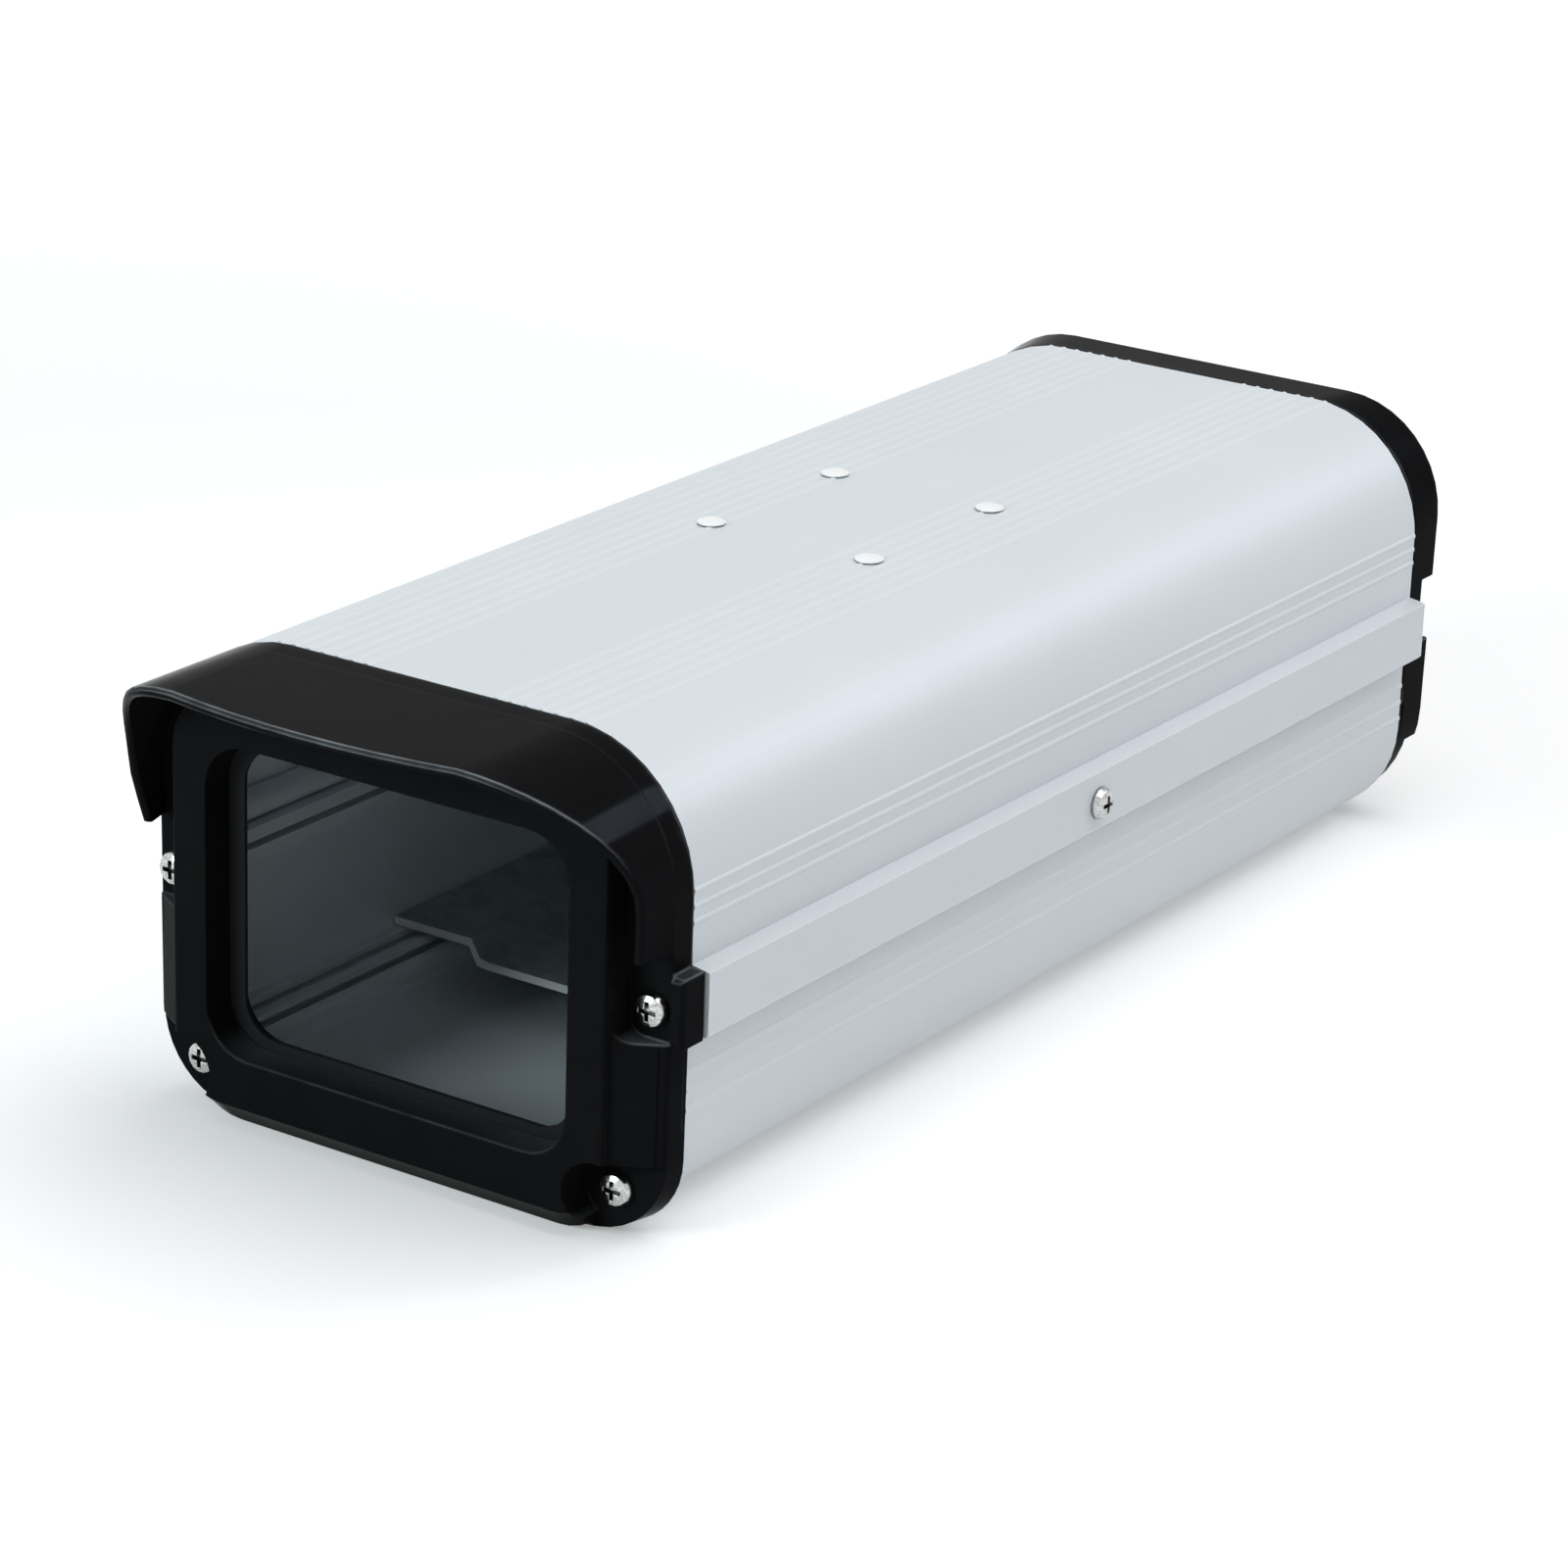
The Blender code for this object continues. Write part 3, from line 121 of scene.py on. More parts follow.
# Where the photograph was taken from and which way it looks, solved from its straight edges.
CAMERA_PLACE = (0.6294, -0.8110, 0.4654)
CAMERA_AHEAD = (-0.5189, 0.7825, -0.3441)
SENSOR_WIDTH = 36.0

# How far the floor reaches each way, in metres, and how far it lies under the housing.
FLOOR_REACH = 12.0
FLOOR_GAP = 0.5 * MM


def linear(code):
    """A colour written as sRGB hex, turned to the linear values that shaders take."""
    values = [int(code[i:i + 2], 16) / 255 for i in (1, 3, 5)]
    return tuple(v / 12.92 if v <= 0.04045 else ((v + 0.055) / 1.055) ** 2.4 for v in values)


def colour(name, description, code):
    return bpy.props.FloatVectorProperty(
        name=name, description=description, default=linear(code),
        subtype="COLOR", size=3, min=0.0, max=1.0)


def length(name, description, millimetres):
    return bpy.props.FloatProperty(
        name=name, description=description, default=millimetres * MM,
        unit="LENGTH", subtype="DISTANCE", min=0.0, precision=5)


def factor(name, description, value):
    return bpy.props.FloatProperty(
        name=name, description=description, default=value, subtype="FACTOR", min=0.0, max=1.0)


def power(name, description, watts):
    return bpy.props.FloatProperty(
        name=name, description=description, default=watts, unit="POWER", min=0.0)


class MetalSettings(bpy.types.PropertyGroup):
    """Colours and grain of the metal pieces."""

    anodised: colour("Anodised", "Silver-white skin of the two extrusions", "#DADFE3")
    # Painted highlight on the extrusions' edges and ridges.
    painted_ridge_highlight: colour("Ridges", "Burnished edges and ridges of the extrusions", "#F7FAFC")
    die_line: length("Die line spacing", "Distance between the faint lines of the die", 0.9)
    die_depth: factor("Die line relief", "How strongly the die lines show", 0.05)
    # Painted shade in the corners beside the extrusions' ridges.
    root: colour("Ridge roots", "Shaded corners beside the ridges of the extrusions", "#A9AFB3")
    plug: colour("Plugs", "Clear-anodised turned plugs in the lid", "#FBFCFC")
    plated: colour("Plated steel", "Bright nickel skin of the screws", "#D4D6D5")
    # Painted shade in the recesses of the screws.
    painted_recess_shade: colour("Grime", "Dirt in the recesses of the screws", "#2A2A29")
    sheet: colour("Zinc sheet", "Skin of the camera plate", "#939592")
    cut_edge: colour("Cut edge", "Bright sheared edge of the camera plate", "#F2F4F4")
    spangle: length("Spangle size", "Width of one zinc crystal on the camera plate", 4.0)
    brass: colour("Brass", "Turned bushes and the earth screw", "#C9A55C")


class MouldingSettings(bpy.types.PropertyGroup):
    """Colours and grain of the plastic, rubber and glass pieces."""

    cover: colour("Covers", "Gloss black of the moulded end covers", "#161617")
    # Painted highlight on the covers' edges that face up.
    painted_edge_highlight: colour("Cover edges", "Rubbed edges of the end covers", "#C4CAD0")
    # Lighter film on sheltered ledges that face up: partly dust, partly painted light.
    dust: colour("Dust", "Fine dust on the sheltered ledges of the end covers", "#4C4E52")
    # Strength of the painted edge highlight away from the hood's front edge.
    edge_highlight_elsewhere: factor("Edge rubbing", "Wear of the edges away from the hood's front edge", 0.12)
    cover_gloss: factor("Cover roughness", "Roughness of the end covers", 0.12)
    cover_shine: factor("Cover shine", "Share of the light that the black skin mirrors", 0.005)
    cover_tint: colour("Cover tint", "Cool tone of what the black skin mirrors", "#8FBFF5")
    ripple: length("Flow ripple", "Width of the shallow waves in a moulded wall", 14.0)
    gland: colour("Glands", "Matt black of the nylon cable glands", "#1C1D1E")
    rubber: colour("Rubber", "Grey-black of the seals", "#242628")
    grit: length("Rubber grit", "Size of the specks in the rubber's skin", 0.6)
    glass: colour("Glass", "Tint of the window", "#1E2C2F")
    glass_cover: factor("Glass tint", "How much of what is behind the glass its tint hides", 0.08)
    glass_shine: factor("Glass shine", "Share of the light that the glass mirrors", 0.05)


class StageSettings(bpy.types.PropertyGroup):
    """Floor, light and camera."""

    floor: colour("Floor", "Pale floor and backdrop", "#F4F4F4")
    lift: factor("Background lift", "Light added for the eye to the floor by the housing", 0.3)
    fade: bpy.props.FloatVectorProperty(
        name="Fade", description="Distances between which the floor passes into white",
        default=(0.6, 2.2), size=2, unit="LENGTH", subtype="XYZ", min=0.0)
    world: bpy.props.FloatProperty(
        name="Room light", description="Strength of the even light of the room",
        default=0.2, min=0.0)
    key: power("Top light", "Power of the large light overhead", 18.6)
    rim: power("Rim light", "Power of the cool strip light behind the lock side", 4.0)
    rim_tint: colour("Rim tint", "Cool tone of the strip light", "#E6EDF8")
    front: power("Front light", "Power of the light before the window", 13.5)
    front_tint: colour("Front tint", "Tone of the light before the window", "#E2F2F4")
    lens: bpy.props.FloatProperty(
        name="Lens", description="Focal length on a 36 mm sensor", default=116.61,
        unit="CAMERA", min=1.0)
    roll: bpy.props.FloatProperty(
        name="Roll", description="Tilt of the camera about its line of sight",
        default=math.radians(1.975), subtype="ANGLE", unit="ROTATION")


def fill(tree, node, settings=None, links=None):
    """Sets a node's attributes and input values, and links its other inputs to sockets."""
    for key, value in (settings or {}).items():
        if isinstance(key, int) or key in node.inputs:
            node.inputs[key].default_value = value
        else:
            setattr(node, key, value)
    for key, socket in (links or {}).items():
        tree.links.new(socket, node.inputs[key])


def add_node(tree, kind, settings=None, links=None):
    """Adds a node with its settings and links."""
    made = tree.nodes.new(kind)
    fill(tree, made, settings, links)
    return made


def new_finish(name):
    """An empty finish with its shader and the piece's own coordinates in metres."""
    made = bpy.data.materials.new(name)
    made.use_nodes = True
    tree = made.node_tree
    place = add_node(tree, "ShaderNodeTexCoord")
    return made, tree, tree.nodes["Principled BSDF"], place.outputs["Object"]


def opaque(tone):
    """A colour with the full alpha that a shader's colour input takes as its fourth value."""
    return (*tone, 1.0)


def spread(low, high, at=NOISE_SPAN):
    """Settings that turn the part of a pattern between the two values of at to low and high."""
    return {"From Min": at[0], "From Max": at[1], "To Min": low, "To Max": high}


def tinted(tree, pattern, base, share):
    """The base colour, darkened by up to share where the pattern is low."""
    darker = [part * (1 - share) for part in base]
    made = add_node(tree, "ShaderNodeMix",
                    {"data_type": "RGBA", BASE: opaque(darker), OVER: opaque(base)}, {0: pattern})
    return made.outputs[MIXED]


def grained(tree, shader, pattern, base, share, rough):
    """Lets one pattern darken the base colour by up to share and move the roughness between
    the two values of rough."""
    moved = add_node(tree, "ShaderNodeMapRange", spread(*rough), {"Value": pattern})
    fill(tree, shader, {}, {"Base Color": tinted(tree, pattern, base, share),
                            "Roughness": moved.outputs["Result"]})


def relief(tree, pattern, strength, depth, edge=0.0):
    """A surface normal with the pattern's relief, over edges that look rounded by edge."""
    made = add_node(tree, "ShaderNodeBump", {"Strength": strength, "Distance": depth},
                    {"Height": pattern})
    if edge:
        softened = add_node(tree, "ShaderNodeBevel", {"samples": EDGE_SAMPLES, "Radius": edge})
        tree.links.new(softened.outputs["Normal"], made.inputs["Normal"])
    return made.outputs["Normal"]


def edge_share(tree, radius, upward=False):
    """About 1 on edges sharper than radius, 0 on flat faces; on request only where they
    face up and catch the light."""
    rounded = add_node(tree, "ShaderNodeBevel", {"samples": EDGE_SAMPLES, "Radius": radius})
    flat = add_node(tree, "ShaderNodeNewGeometry")
    near = add_node(tree, "ShaderNodeVectorMath", {"operation": "DOT_PRODUCT"},
                    {0: rounded.outputs["Normal"], 1: flat.outputs["Normal"]})
    share = add_node(tree, "ShaderNodeMapRange", spread(0.0, 1.0, EDGE_BEND),
                     {"Value": near.outputs["Value"]})
    if not upward:
        return share.outputs["Result"]
    way = add_node(tree, "ShaderNodeSeparateXYZ", {}, {"Vector": rounded.outputs["Normal"]})
    lit = add_node(tree, "ShaderNodeMapRange", spread(0.0, 1.0, TILTED_UP),
                   {"Value": way.outputs["Z"]})
    both = add_node(tree, "ShaderNodeMath", {"operation": "MULTIPLY"},
                    {0: share.outputs["Result"], 1: lit.outputs["Result"]})
    return both.outputs[0]


def crevice(tree, reach):
    """About 1 in corners that the room's light hardly reaches, 0 in the open."""
    sky = add_node(tree, "ShaderNodeAmbientOcclusion",
                   {"samples": SHELTER_SAMPLES, "Distance": reach})
    made = add_node(tree, "ShaderNodeMapRange", spread(1.0, 0.0, OPEN_SKY),
                    {"Value": sky.outputs["AO"]})
    return made.outputs["Result"]


def dust_and_light_share(tree):
    """About 1 on ledges that face up in shelter, lighter there partly from dust and partly from
    painted light.
    """
    face = add_node(tree, "ShaderNodeNewGeometry")
    way = add_node(tree, "ShaderNodeSeparateXYZ", {}, {"Vector": face.outputs["Normal"]})
    flat = add_node(tree, "ShaderNodeMapRange", spread(0.0, 1.0, LEVEL),
                    {"Value": way.outputs["Z"]})
    made = add_node(tree, "ShaderNodeMath", {"operation": "MULTIPLY"},
                    {0: crevice(tree, LEDGE_SHELTER), 1: flat.outputs["Result"]})
    return made.outputs[0]


def edge_highlight_share(tree, place, patches, edge_highlight_elsewhere):
    """How strong the painted highlight is on a cover's edges that face up: full on the hood's
    front edge, less on the ear and by the given share elsewhere, in patches."""
    along = add_node(tree, "ShaderNodeSeparateXYZ", {}, {"Vector": place})
    lip = add_node(tree, "ShaderNodeMapRange", spread(1.0, edge_highlight_elsewhere, HOOD_LIP),
                   {"Value": along.outputs["Y"]})
    ear = add_node(tree, "ShaderNodeMapRange", spread(edge_highlight_elsewhere, EAR_HIGHLIGHT, EAR),
                   {"Value": along.outputs["X"]})
    highlight_reach = add_node(tree, "ShaderNodeMath", {"operation": "MAXIMUM"},
                       {0: lip.outputs["Result"], 1: ear.outputs["Result"]})
    edges = add_node(tree, "ShaderNodeMath", {"operation": "MULTIPLY"},
                     {0: edge_share(tree, HIGHLIGHT_EDGE, upward=True), 1: highlight_reach.outputs[0]})
    patchy = add_node(tree, "ShaderNodeMapRange", spread(0.5, 1.0), {"Value": patches})
    highlight_in_patches = add_node(tree, "ShaderNodeMath", {"operation": "MULTIPLY"},
                    {0: edges.outputs[0], 1: patchy.outputs["Result"]})
    return highlight_in_patches.outputs[0]


def anodised_aluminium(settings):
    """Silver-white anodised extrusion: a soft satin sheen, with faint lines along its length
    from the die, a slight cloudiness from the bath, painted highlights on the ridges and
    painted shade in the corners beside them."""
    made, tree, shader, place = new_finish("anodised_aluminium_satin")
    across = 1 / settings.die_line
    stretched = add_node(tree, "ShaderNodeMapping",
                         {"Scale": (across, across * DIE_STRETCH, across)}, {"Vector": place})
    lines = add_node(tree, "ShaderNodeTexNoise", {"Scale": 1.0, "Detail": 3.0, "Roughness": 0.6},
                     {"Vector": stretched.outputs["Vector"]})
    cloud = add_node(tree, "ShaderNodeTexNoise", {"Scale": 1 / BATH_CLOUD, "Detail": 2.0},
                     {"Vector": place})
    grain = add_node(tree, "ShaderNodeTexNoise", {"Scale": 1 / SATIN_GRAIN, "Detail": 2.0},
                     {"Vector": place})
    clouded = add_node(tree, "ShaderNodeMapRange", spread(0.0, 1.0),
                       {"Value": cloud.outputs["Fac"]})
    # Painted shade in the corners beside the ridges.
    shaded = add_node(tree, "ShaderNodeMix", {"data_type": "RGBA", OVER: opaque(settings.root)}, {
        0: crevice(tree, ROOT_SHADE_REACH),
        BASE: tinted(tree, clouded.outputs["Result"], settings.anodised, 0.025)})
    # Painted highlight on the ridges and edges of the extrusions.
    burnished = add_node(tree, "ShaderNodeMix",
                         {"data_type": "RGBA", OVER: opaque(settings.painted_ridge_highlight)},
                         {0: edge_share(tree, RIDGE_HIGHLIGHT_EDGE), BASE: shaded.outputs[MIXED]})
    satin = add_node(tree, "ShaderNodeMapRange", spread(0.46, 0.56),
                     {"Value": lines.outputs["Fac"]})
    texture = add_node(tree, "ShaderNodeMath", {"operation": "MULTIPLY_ADD", 1: GRAIN_SHARE},
                       {0: grain.outputs["Fac"], 2: lines.outputs["Fac"]})
    fill(tree, shader, {"Metallic": 0.2}, {
        "Base Color": burnished.outputs[MIXED],
        "Roughness": satin.outputs["Result"],
        "Normal": relief(tree, texture.outputs[0], settings.die_depth, 0.05 * MM)})
    return made


def turned_aluminium(settings):
    """Turned and clear-anodised aluminium: whiter and smoother than the extrusions, so each
    plug shows as a bright dot."""
    made, tree, shader, place = new_finish("anodised_aluminium_turned")
    marks = add_node(tree, "ShaderNodeTexNoise", {"Scale": 1 / PLUG_MARKS, "Detail": 2.0},
                     {"Vector": place})
    grained(tree, shader, marks.outputs["Fac"], settings.plug, 0.03, (0.28, 0.36))
    fill(tree, shader, {"Metallic": 0.1}, {
        "Normal": relief(tree, marks.outputs["Fac"], 0.1, 0.02 * MM, 0.3 * MM)})
    return made


def gloss_black_abs(settings):
    """Gloss black moulded ABS: a deep mirror-like skin, broken by shallow flow waves and fine
    handling haze that widens the highlights, with a painted highlight on edges that face up,
    strongest on the hood's front edge, and a lighter film on ledges that face up in shelter,
    partly dust and partly painted light."""
    made, tree, shader, place = new_finish("black_abs_gloss_moulded")
    smoother, duller = [settings.cover_gloss * part for part in HANDLED_ROUGHNESS]
    waves = add_node(tree, "ShaderNodeTexNoise", {"Scale": 1 / settings.ripple, "Detail": 1.0},
                     {"Vector": place})
    haze = add_node(tree, "ShaderNodeTexNoise", {"Scale": 1 / HANDLING, "Detail": 3.0},
                    {"Vector": place})
    hazed = add_node(tree, "ShaderNodeMapRange", spread(0.0, 1.0), {"Value": haze.outputs["Fac"]})
    # Lighter film on sheltered ledges that face up: partly dust, partly painted light.
    dust_and_light = add_node(tree, "ShaderNodeMix", {"data_type": "RGBA", OVER: opaque(settings.dust)}, {
        0: dust_and_light_share(tree), BASE: tinted(tree, hazed.outputs["Result"], settings.cover, 0.1)})
    # Painted highlight on the edges that face up, strongest on the hood's front edge.
    edge_highlighted = add_node(tree, "ShaderNodeMix",
                      {"data_type": "RGBA", OVER: opaque(settings.painted_edge_highlight)},
                      {0: edge_highlight_share(tree, place, haze.outputs["Fac"], settings.edge_highlight_elsewhere),
                       BASE: dust_and_light.outputs[MIXED]})
    dulled = add_node(tree, "ShaderNodeMapRange", spread(smoother, duller),
                      {"Value": haze.outputs["Fac"]})
    fill(tree, shader, {
        "IOR": 1.53,
        "Specular IOR Level": settings.cover_shine,
        "Specular Tint": opaque(settings.cover_tint)}, {
        "Base Color": edge_highlighted.outputs[MIXED],
        "Roughness": dulled.outputs["Result"],
        "Normal": relief(tree, waves.outputs["Fac"], 0.3, 0.3 * MM, 0.5 * MM)})
    return made


def matt_nylon(settings):
    """Matt black moulded nylon: a fine sparked texture that kills the reflections."""
    made, tree, shader, place = new_finish("black_nylon_sparked")
    spark = add_node(tree, "ShaderNodeTexNoise", {"Scale": 1 / NYLON_SPARK, "Detail": 3.0},
                     {"Vector": place})
    grained(tree, shader, spark.outputs["Fac"], settings.gland, 0.3, (0.42, 0.6))
    fill(tree, shader, {"Specular IOR Level": 0.2}, {
        "Normal": relief(tree, spark.outputs["Fac"], 0.35, 0.08 * MM)})
    return made


def seal_rubber(settings):
    """Extruded EPDM seal rubber: grey-black and dull, with a powdery speckle."""
    made, tree, shader, place = new_finish("epdm_rubber_matt")
    speck = add_node(tree, "ShaderNodeTexNoise", {"Scale": 1 / settings.grit, "Detail": 4.0},
                     {"Vector": place})
    grained(tree, shader, speck.outputs["Fac"], settings.rubber, 0.35, (0.62, 0.8))
    fill(tree, shader, {"Specular IOR Level": 0.08}, {
        "Normal": relief(tree, speck.outputs["Fac"], 0.3, 0.05 * MM)})
    return made


def nickel_plated_steel(settings):
    """Bright nickel-plated steel: near-mirror metal with fine turning marks that break up
    what it reflects, and painted shade in the cross."""
    made, tree, shader, place = new_finish("nickel_plated_steel_bright")
    marks = add_node(tree, "ShaderNodeTexNoise", {"Scale": 1 / SCREW_MARKS, "Detail": 3.0},
                     {"Vector": place})
    streaks = add_node(tree, "ShaderNodeMapRange", spread(0.0, 1.0),
                       {"Value": marks.outputs["Fac"]})
    # Painted shade in the screw's cross.
    recess_shaded = add_node(tree, "ShaderNodeMix", {"data_type": "RGBA", OVER: opaque(settings.painted_recess_shade)}, {
        0: crevice(tree, RECESS_SHADE_REACH),
        BASE: tinted(tree, streaks.outputs["Result"], settings.plated, 0.45)})
    bright = add_node(tree, "ShaderNodeMapRange", spread(0.1, 0.24),
                      {"Value": marks.outputs["Fac"]})
    fill(tree, shader, {"Metallic": 1.0}, {
        "Base Color": recess_shaded.outputs[MIXED],
        "Roughness": bright.outputs["Result"],
        "Normal": relief(tree, marks.outputs["Fac"], 0.2, 0.02 * MM, 0.2 * MM)})
    return made


def galvanised_sheet(settings):
    """Galvanised steel sheet: grey zinc with soft patches of crystal, each of its own tone,
    and a bright sheared front edge."""
    made, tree, shader, place = new_finish("galvanised_steel_sheet")
    crystals = add_node(tree, "ShaderNodeTexVoronoi",
                        {"Scale": 1 / settings.spangle, "Randomness": 1.0}, {"Vector": place})
    tone = add_node(tree, "ShaderNodeSeparateColor", {}, {"Color": crystals.outputs["Color"]})
    face = add_node(tree, "ShaderNodeNewGeometry")
    way = add_node(tree, "ShaderNodeSeparateXYZ", {}, {"Vector": face.outputs["Normal"]})
    sheared = add_node(tree, "ShaderNodeMapRange", spread(1.0, 0.0, TO_THE_FRONT),
                       {"Value": way.outputs["Y"]})
    skin = add_node(tree, "ShaderNodeMix",
                    {"data_type": "RGBA", OVER: opaque(settings.cut_edge)},
                    {0: sheared.outputs["Result"],
                     BASE: tinted(tree, tone.outputs["Red"], settings.sheet, 0.15)})
    dull = add_node(tree, "ShaderNodeMapRange", spread(0.34, 0.5, (0.0, 1.0)),
                    {"Value": tone.outputs["Green"]})
    fill(tree, shader, {"Metallic": 0.25}, {
        "Base Color": skin.outputs[MIXED],
        "Roughness": dull.outputs["Result"],
        "Normal": relief(tree, tone.outputs["Blue"], 0.05, 0.02 * MM)})
    return made


def turned_brass(settings):
    """Turned brass: warm metal with slight tarnish in patches."""
    made, tree, shader, place = new_finish("brass_turned")
    patches = add_node(tree, "ShaderNodeTexNoise", {"Scale": 1 / TARNISH, "Detail": 4.0},
                       {"Vector": place})
    grained(tree, shader, patches.outputs["Fac"], settings.brass, 0.3, (0.25, 0.42))
    fill(tree, shader, {"Metallic": 1.0})
    return made


def window_pane(settings):
    """Clear float glass, seen as a thin dark film with a sharp reflection and a trace of
    dust."""
    made, tree, shader, place = new_finish("float_glass_clear")
    dust = add_node(tree, "ShaderNodeTexNoise", {"Scale": 1 / HANDLING, "Detail": 6.0},
                    {"Vector": place})
    grained(tree, shader, dust.outputs["Fac"], settings.glass, 0.2, (0.02, 0.06))
    fill(tree, shader, {
        "IOR": 1.52,
        "Specular IOR Level": settings.glass_shine,
        "Alpha": settings.glass_cover})
    return made


def smoothing_tree(degrees):
    """Shades faces smooth across edges under an angle and keeps the rest sharp."""
    name = f"smooth_under_{degrees}_degrees"
    tree = bpy.data.node_groups.get(name)
    if tree:
        return tree
    tree = bpy.data.node_groups.new(name, "GeometryNodeTree")
    tree.is_modifier = True
    tree.interface.new_socket("Geometry", in_out="INPUT", socket_type="NodeSocketGeometry")
    tree.interface.new_socket("Geometry", in_out="OUTPUT", socket_type="NodeSocketGeometry")
    start = add_node(tree, "NodeGroupInput")
    weld = add_node(tree, "GeometryNodeMergeByDistance", {"Distance": WELD_DISTANCE},
                    {"Geometry": start.outputs[0]})
    faces = add_node(tree, "GeometryNodeSetShadeSmooth", {"domain": "FACE", "Shade Smooth": True},
                     {"Geometry": weld.outputs[0]})
    angle = add_node(tree, "GeometryNodeInputMeshEdgeAngle")
    soft = add_node(tree, "FunctionNodeCompare",
                    {"data_type": "FLOAT", "operation": "LESS_THAN", 1: math.radians(degrees)},
                    {0: angle.outputs["Unsigned Angle"]})
    edges = add_node(tree, "GeometryNodeSetShadeSmooth", {"domain": "EDGE"},
                     {"Geometry": faces.outputs[0], "Shade Smooth": soft.outputs["Result"]})
    add_node(tree, "NodeGroupOutput", {}, {0: edges.outputs[0]})
    return tree


def dress(names, finish, degrees=SMOOTH_ANGLE):
    """Gives the named nodes a finish, and smooth shading across edges under an angle."""
    for name in names:
        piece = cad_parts[name]
        piece.data.materials.clear()
        piece.data.materials.append(finish)
        shading = piece.modifiers.new("smooth_by_angle", "NODES")
        shading.node_group = smoothing_tree(degrees)
        evened = piece.modifiers.new("even_shading", "WEIGHTED_NORMAL")
        evened.mode = "FACE_AREA_WITH_ANGLE"
        evened.keep_sharp = True


def starting(*words):
    """The nodes whose names start with one of the words."""
    found = [name for name in sorted(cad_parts) if name.startswith(words)]
    if not found:
        raise RuntimeError(f"no node starts with {words}")
    return found


class HOUSING_OT_extrusions(bpy.types.Operator):
    """Dresses the tray and the lid in satin anodised aluminium, and the lid's plugs"""

    bl_idname = "housing.extrusions"
    bl_label = "Extrusions"

    def execute(self, context):
        settings = context.scene.housing_metal
        dress(["lower_shell", "upper_shell"], anodised_aluminium(settings), RIDGE_ANGLE)
        dress(starting("top_plug"), turned_aluminium(settings))
        return {"FINISHED"}


class HOUSING_OT_covers(bpy.types.Operator):
    """Dresses the front and rear covers in gloss black ABS"""

    bl_idname = "housing.covers"
    bl_label = "End covers"

    def execute(self, context):
        names = starting("front_cover", "rear_cover")
        dress(names, gloss_black_abs(context.scene.housing_mouldings))
        return {"FINISHED"}


class HOUSING_OT_window(bpy.types.Operator):
    """Dresses the window glass"""

    bl_idname = "housing.window"
    bl_label = "Window"

    def execute(self, context):
        dress(["window_glass"], window_pane(context.scene.housing_mouldings))
        return {"FINISHED"}


class HOUSING_OT_seals(bpy.types.Operator):
    """Dresses the gaskets and seals in rubber"""

    bl_idname = "housing.seals"
    bl_label = "Seals"

    def execute(self, context):
        names = starting("window_gasket", "front_gasket", "rear_gasket", "lid_seal", "gland_seal")
        dress(names, seal_rubber(context.scene.housing_mouldings))
        return {"FINISHED"}


class HOUSING_OT_fixings(bpy.types.Operator):
    """Dresses the screws in bright plating, the bushes and the earth screw in brass"""

    bl_idname = "housing.fixings"
    bl_label = "Screws and bushes"

    def execute(self, context):
        settings = context.scene.housing_metal
        names = starting("front_screw", "rear_screw", "lock_screw", "plate_screw", "camera_screw")
        dress(names, nickel_plated_steel(settings))
        dress(starting("bracket_bush", "earth_screw"), turned_brass(settings))
        return {"FINISHED"}


class HOUSING_OT_inside(bpy.types.Operator):
    """Dresses the camera plate in zinc"""

    bl_idname = "housing.inside"
    bl_label = "Inside"

    def execute(self, context):
        dress(["camera_plate"], galvanised_sheet(context.scene.housing_metal))
        return {"FINISHED"}


class HOUSING_OT_glands(bpy.types.Operator):
    """Dresses the cable glands and the glass frame in matt nylon"""

    bl_idname = "housing.glands"
    bl_label = "Nylon pieces"

    def execute(self, context):
        names = starting("gland_body", "gland_cap", "gland_nut", "window_retainer")
        dress(names, matt_nylon(context.scene.housing_mouldings))
        return {"FINISHED"}


def place_object(name, data):
    """Puts new data into the scene as an object."""
    made = bpy.data.objects.new(name, data)
    bpy.context.scene.collection.objects.link(made)
    return made


def looking(tree):
    """1 for rays that see a background: from the camera, from a mirror or through glass."""
    path = add_node(tree, "ShaderNodeLightPath")
    mirrored = add_node(tree, "ShaderNodeMath", {"operation": "MAXIMUM"},
                        {0: path.outputs["Is Camera Ray"], 1: path.outputs["Is Glossy Ray"]})
    through = add_node(tree, "ShaderNodeMath", {"operation": "MAXIMUM"},
                       {0: mirrored.outputs[0], 1: path.outputs["Is Transmission Ray"]})
    return through.outputs[0]


def floor_finish(settings):
    """Matt white paper, a little lighter to the eye than the lamps make it, and more so away
    from the housing, so that it passes into the white behind."""
    made, tree, shader, place = new_finish("white_studio_paper")
    fibre = add_node(tree, "ShaderNodeTexNoise", {"Scale": 1 / PAPER_FIBRE}, {"Vector": place})
    away = add_node(tree, "ShaderNodeVectorMath", {"operation": "LENGTH"}, {0: place})
    lift = add_node(tree, "ShaderNodeMapRange", spread(settings.lift, 1.0, settings.fade),
                    {"Value": away.outputs["Value"]})
    seen = add_node(tree, "ShaderNodeMath", {"operation": "MULTIPLY"},
                    {0: looking(tree), 1: lift.outputs["Result"]})
    fill(tree, shader, {"Roughness": 0.95, "Emission Color": opaque(WHITE)}, {
        "Base Color": tinted(tree, fibre.outputs["Fac"], settings.floor, 0.01),
        "Emission Strength": seen.outputs[0]})
    return made


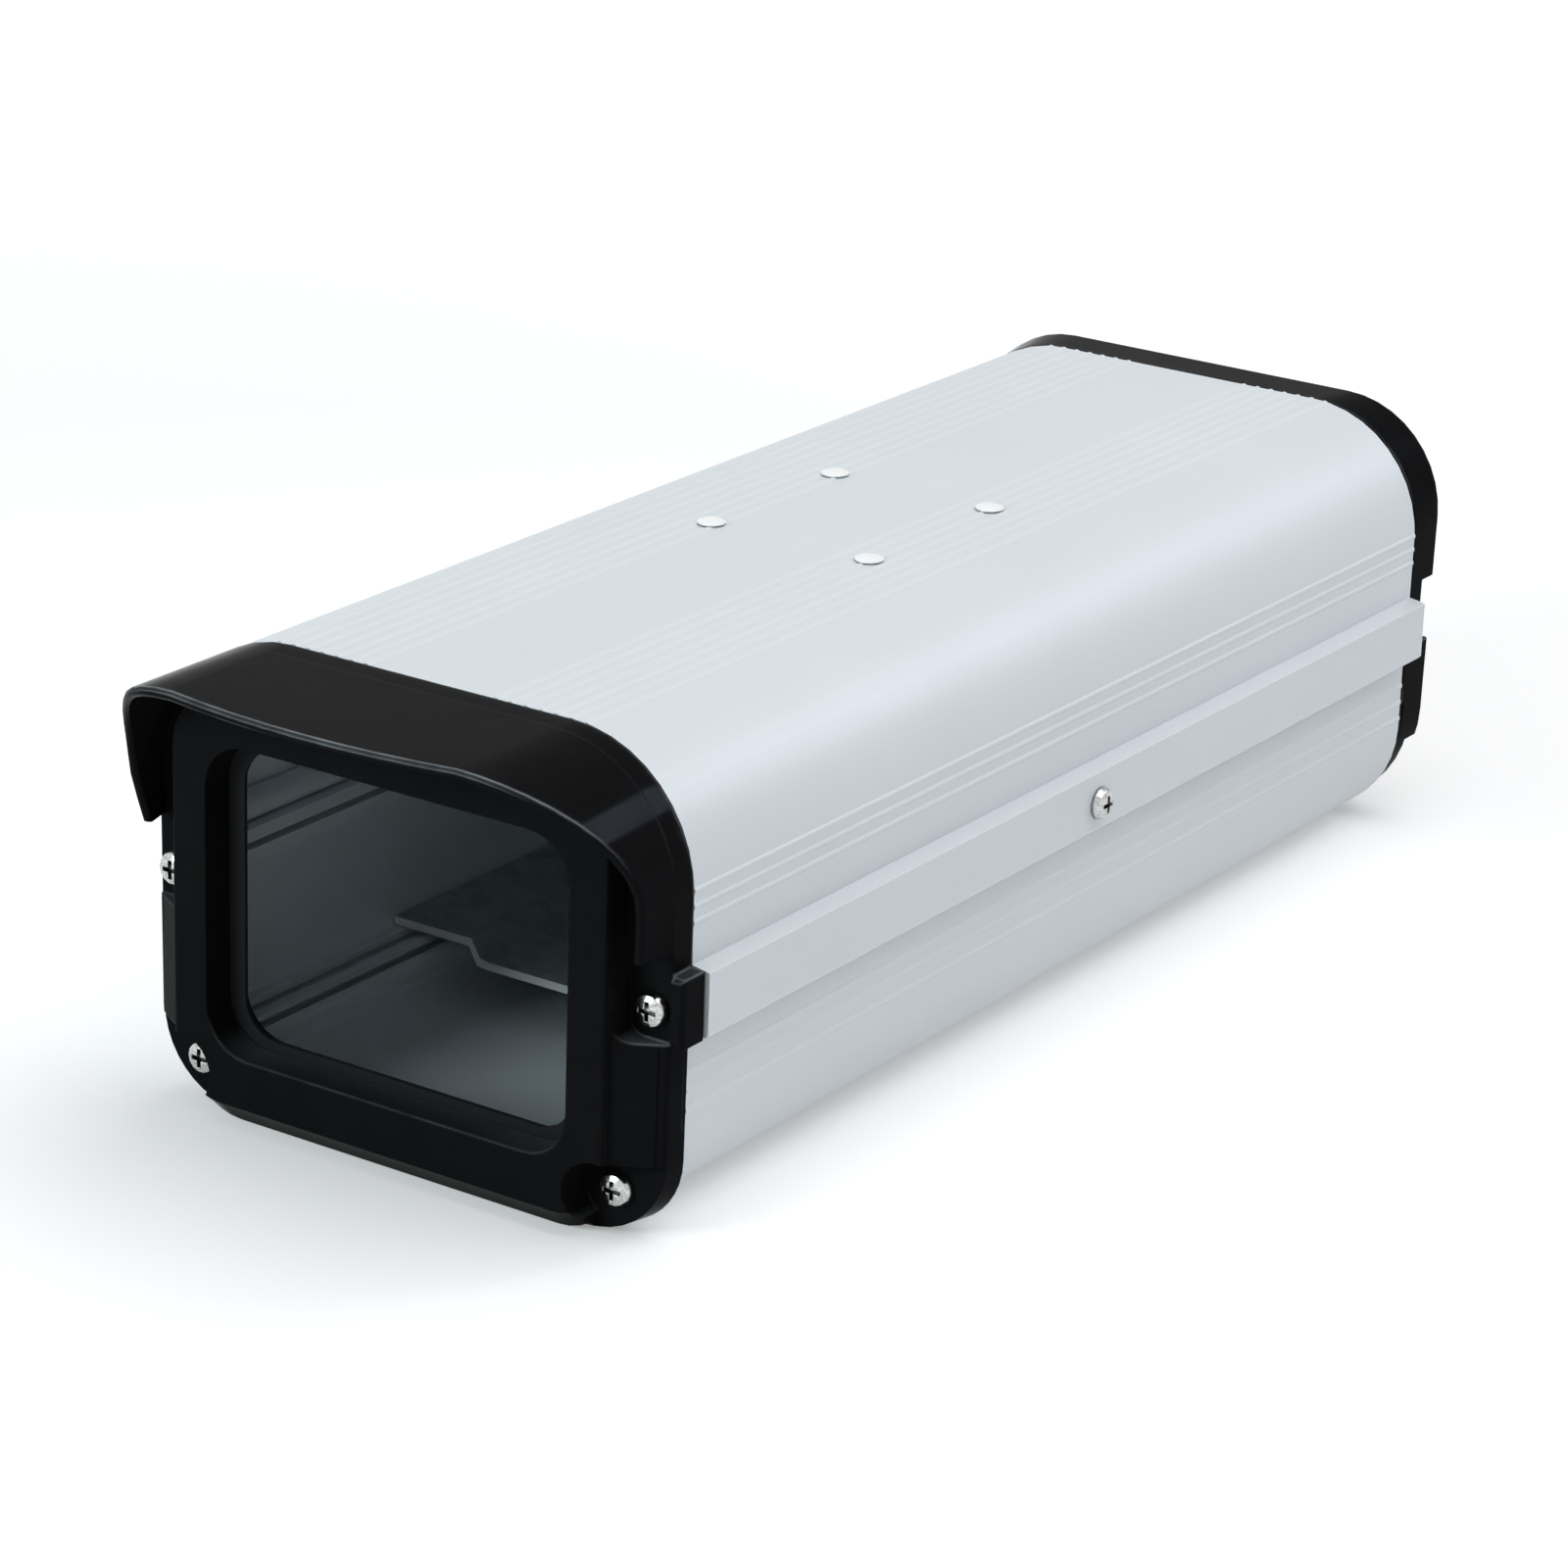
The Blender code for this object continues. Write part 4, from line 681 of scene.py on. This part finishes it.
def lay_floor(settings):
    """A wide floor just under the housing."""
    low = cad_box[0].z - FLOOR_GAP
    corners = [(x * FLOOR_REACH, y * FLOOR_REACH, low)
               for x, y in ((-1, -1), (1, -1), (1, 1), (-1, 1))]
    mesh = bpy.data.meshes.new("floor")
    mesh.from_pydata(corners, [], [(0, 1, 2, 3)])
    mesh.materials.append(floor_finish(settings))
    made = place_object("floor", mesh)


def room_light(settings):
    """Even light from all round; the camera, mirrors and glass see it as white."""
    world = bpy.data.worlds.new("studio_room")
    world.use_nodes = True
    tree = world.node_tree
    seen = add_node(tree, "ShaderNodeMapRange", spread(settings.world, 1.0, (0.0, 1.0)),
                    {"Value": looking(tree)})
    fill(tree, tree.nodes["Background"], {"Color": opaque(WHITE)},
         {"Strength": seen.outputs["Result"]})
    bpy.context.scene.world = world


def soft_box(name, setup, watts, tint=WHITE, turn=0.0):
    """A rectangular lamp from its place, aim and sides, turned about its line of sight by
    degrees."""
    place, aim, sides = setup
    lamp = bpy.data.lights.new(name, "AREA")
    lamp.shape = "RECTANGLE"
    lamp.size, lamp.size_y = sides
    lamp.energy = watts
    lamp.color = tint
    made = place_object(name, lamp)
    made.location = place
    sight = (Vector(aim) - Vector(place)).to_track_quat("-Z", "Y")
    made.rotation_euler = (sight @ Quaternion((0, 0, 1), math.radians(turn))).to_euler()


def photo_camera(settings):
    """The camera where the photograph was taken from."""
    ahead = Vector(CAMERA_AHEAD).normalized()
    level = ahead.cross(Vector((0, 0, 1))).normalized()
    upright = level.cross(ahead)
    flat, tilt = math.cos(settings.roll), math.sin(settings.roll)
    right = level * flat + upright * tilt
    up = upright * flat - level * tilt
    data = bpy.data.cameras.new("photo_camera")
    data.lens = settings.lens
    data.sensor_width = SENSOR_WIDTH
    data.clip_start, data.clip_end = 0.05, 50.0
    made = place_object("photo_camera", data)
    turned = Matrix((right, up, -ahead)).transposed().to_4x4()
    made.matrix_world = Matrix.Translation(CAMERA_PLACE) @ turned
    bpy.context.scene.camera = made


class HOUSING_OT_stage(bpy.types.Operator):
    """Lays the pale floor, hangs the lamps and sets up the camera"""

    bl_idname = "housing.stage"
    bl_label = "Stage"

    def execute(self, context):
        settings = context.scene.housing_stage
        lay_floor(settings)
        room_light(settings)
        soft_box("top_light", TOP_LAMP, settings.key)
        soft_box("rim_light", STRIP_LAMP, settings.rim, settings.rim_tint, STRIP_TURN)
        soft_box("front_light", FRONT_LAMP, settings.front, settings.front_tint)
        photo_camera(settings)
        context.scene.view_settings.view_transform = "Standard"
        return {"FINISHED"}


class HOUSING_PT_finishes(bpy.types.Panel):
    """Lists the housing's finishes and their settings"""

    bl_idname = "HOUSING_PT_finishes"
    bl_label = "Housing"
    bl_space_type = "VIEW_3D"
    bl_region_type = "UI"
    bl_category = "Housing"

    def draw(self, context):
        layout = self.layout
        for operator in OPERATORS:
            layout.operator(operator.bl_idname)
        for group in (context.scene.housing_metal, context.scene.housing_mouldings,
                      context.scene.housing_stage):
            column = layout.column(align=True)
            for name in group.__annotations__:
                column.prop(group, name)


GROUPS = (MetalSettings, MouldingSettings, StageSettings)
OPERATORS = (
    HOUSING_OT_extrusions, HOUSING_OT_covers, HOUSING_OT_window, HOUSING_OT_seals,
    HOUSING_OT_fixings, HOUSING_OT_inside, HOUSING_OT_glands, HOUSING_OT_stage,
)


def register():
    for cls in GROUPS + OPERATORS + (HOUSING_PT_finishes,):
        bpy.utils.register_class(cls)
    bpy.types.Scene.housing_metal = bpy.props.PointerProperty(type=MetalSettings)
    bpy.types.Scene.housing_mouldings = bpy.props.PointerProperty(type=MouldingSettings)
    bpy.types.Scene.housing_stage = bpy.props.PointerProperty(type=StageSettings)


def unregister():
    del bpy.types.Scene.housing_metal
    del bpy.types.Scene.housing_mouldings
    del bpy.types.Scene.housing_stage
    for cls in reversed(GROUPS + OPERATORS + (HOUSING_PT_finishes,)):
        bpy.utils.unregister_class(cls)


def main():
    register()
    bpy.ops.housing.extrusions()
    bpy.ops.housing.covers()
    bpy.ops.housing.window()
    bpy.ops.housing.seals()
    bpy.ops.housing.fixings()
    bpy.ops.housing.inside()
    bpy.ops.housing.glands()
    bpy.ops.housing.stage()


if __name__ == "__main__":
    main()
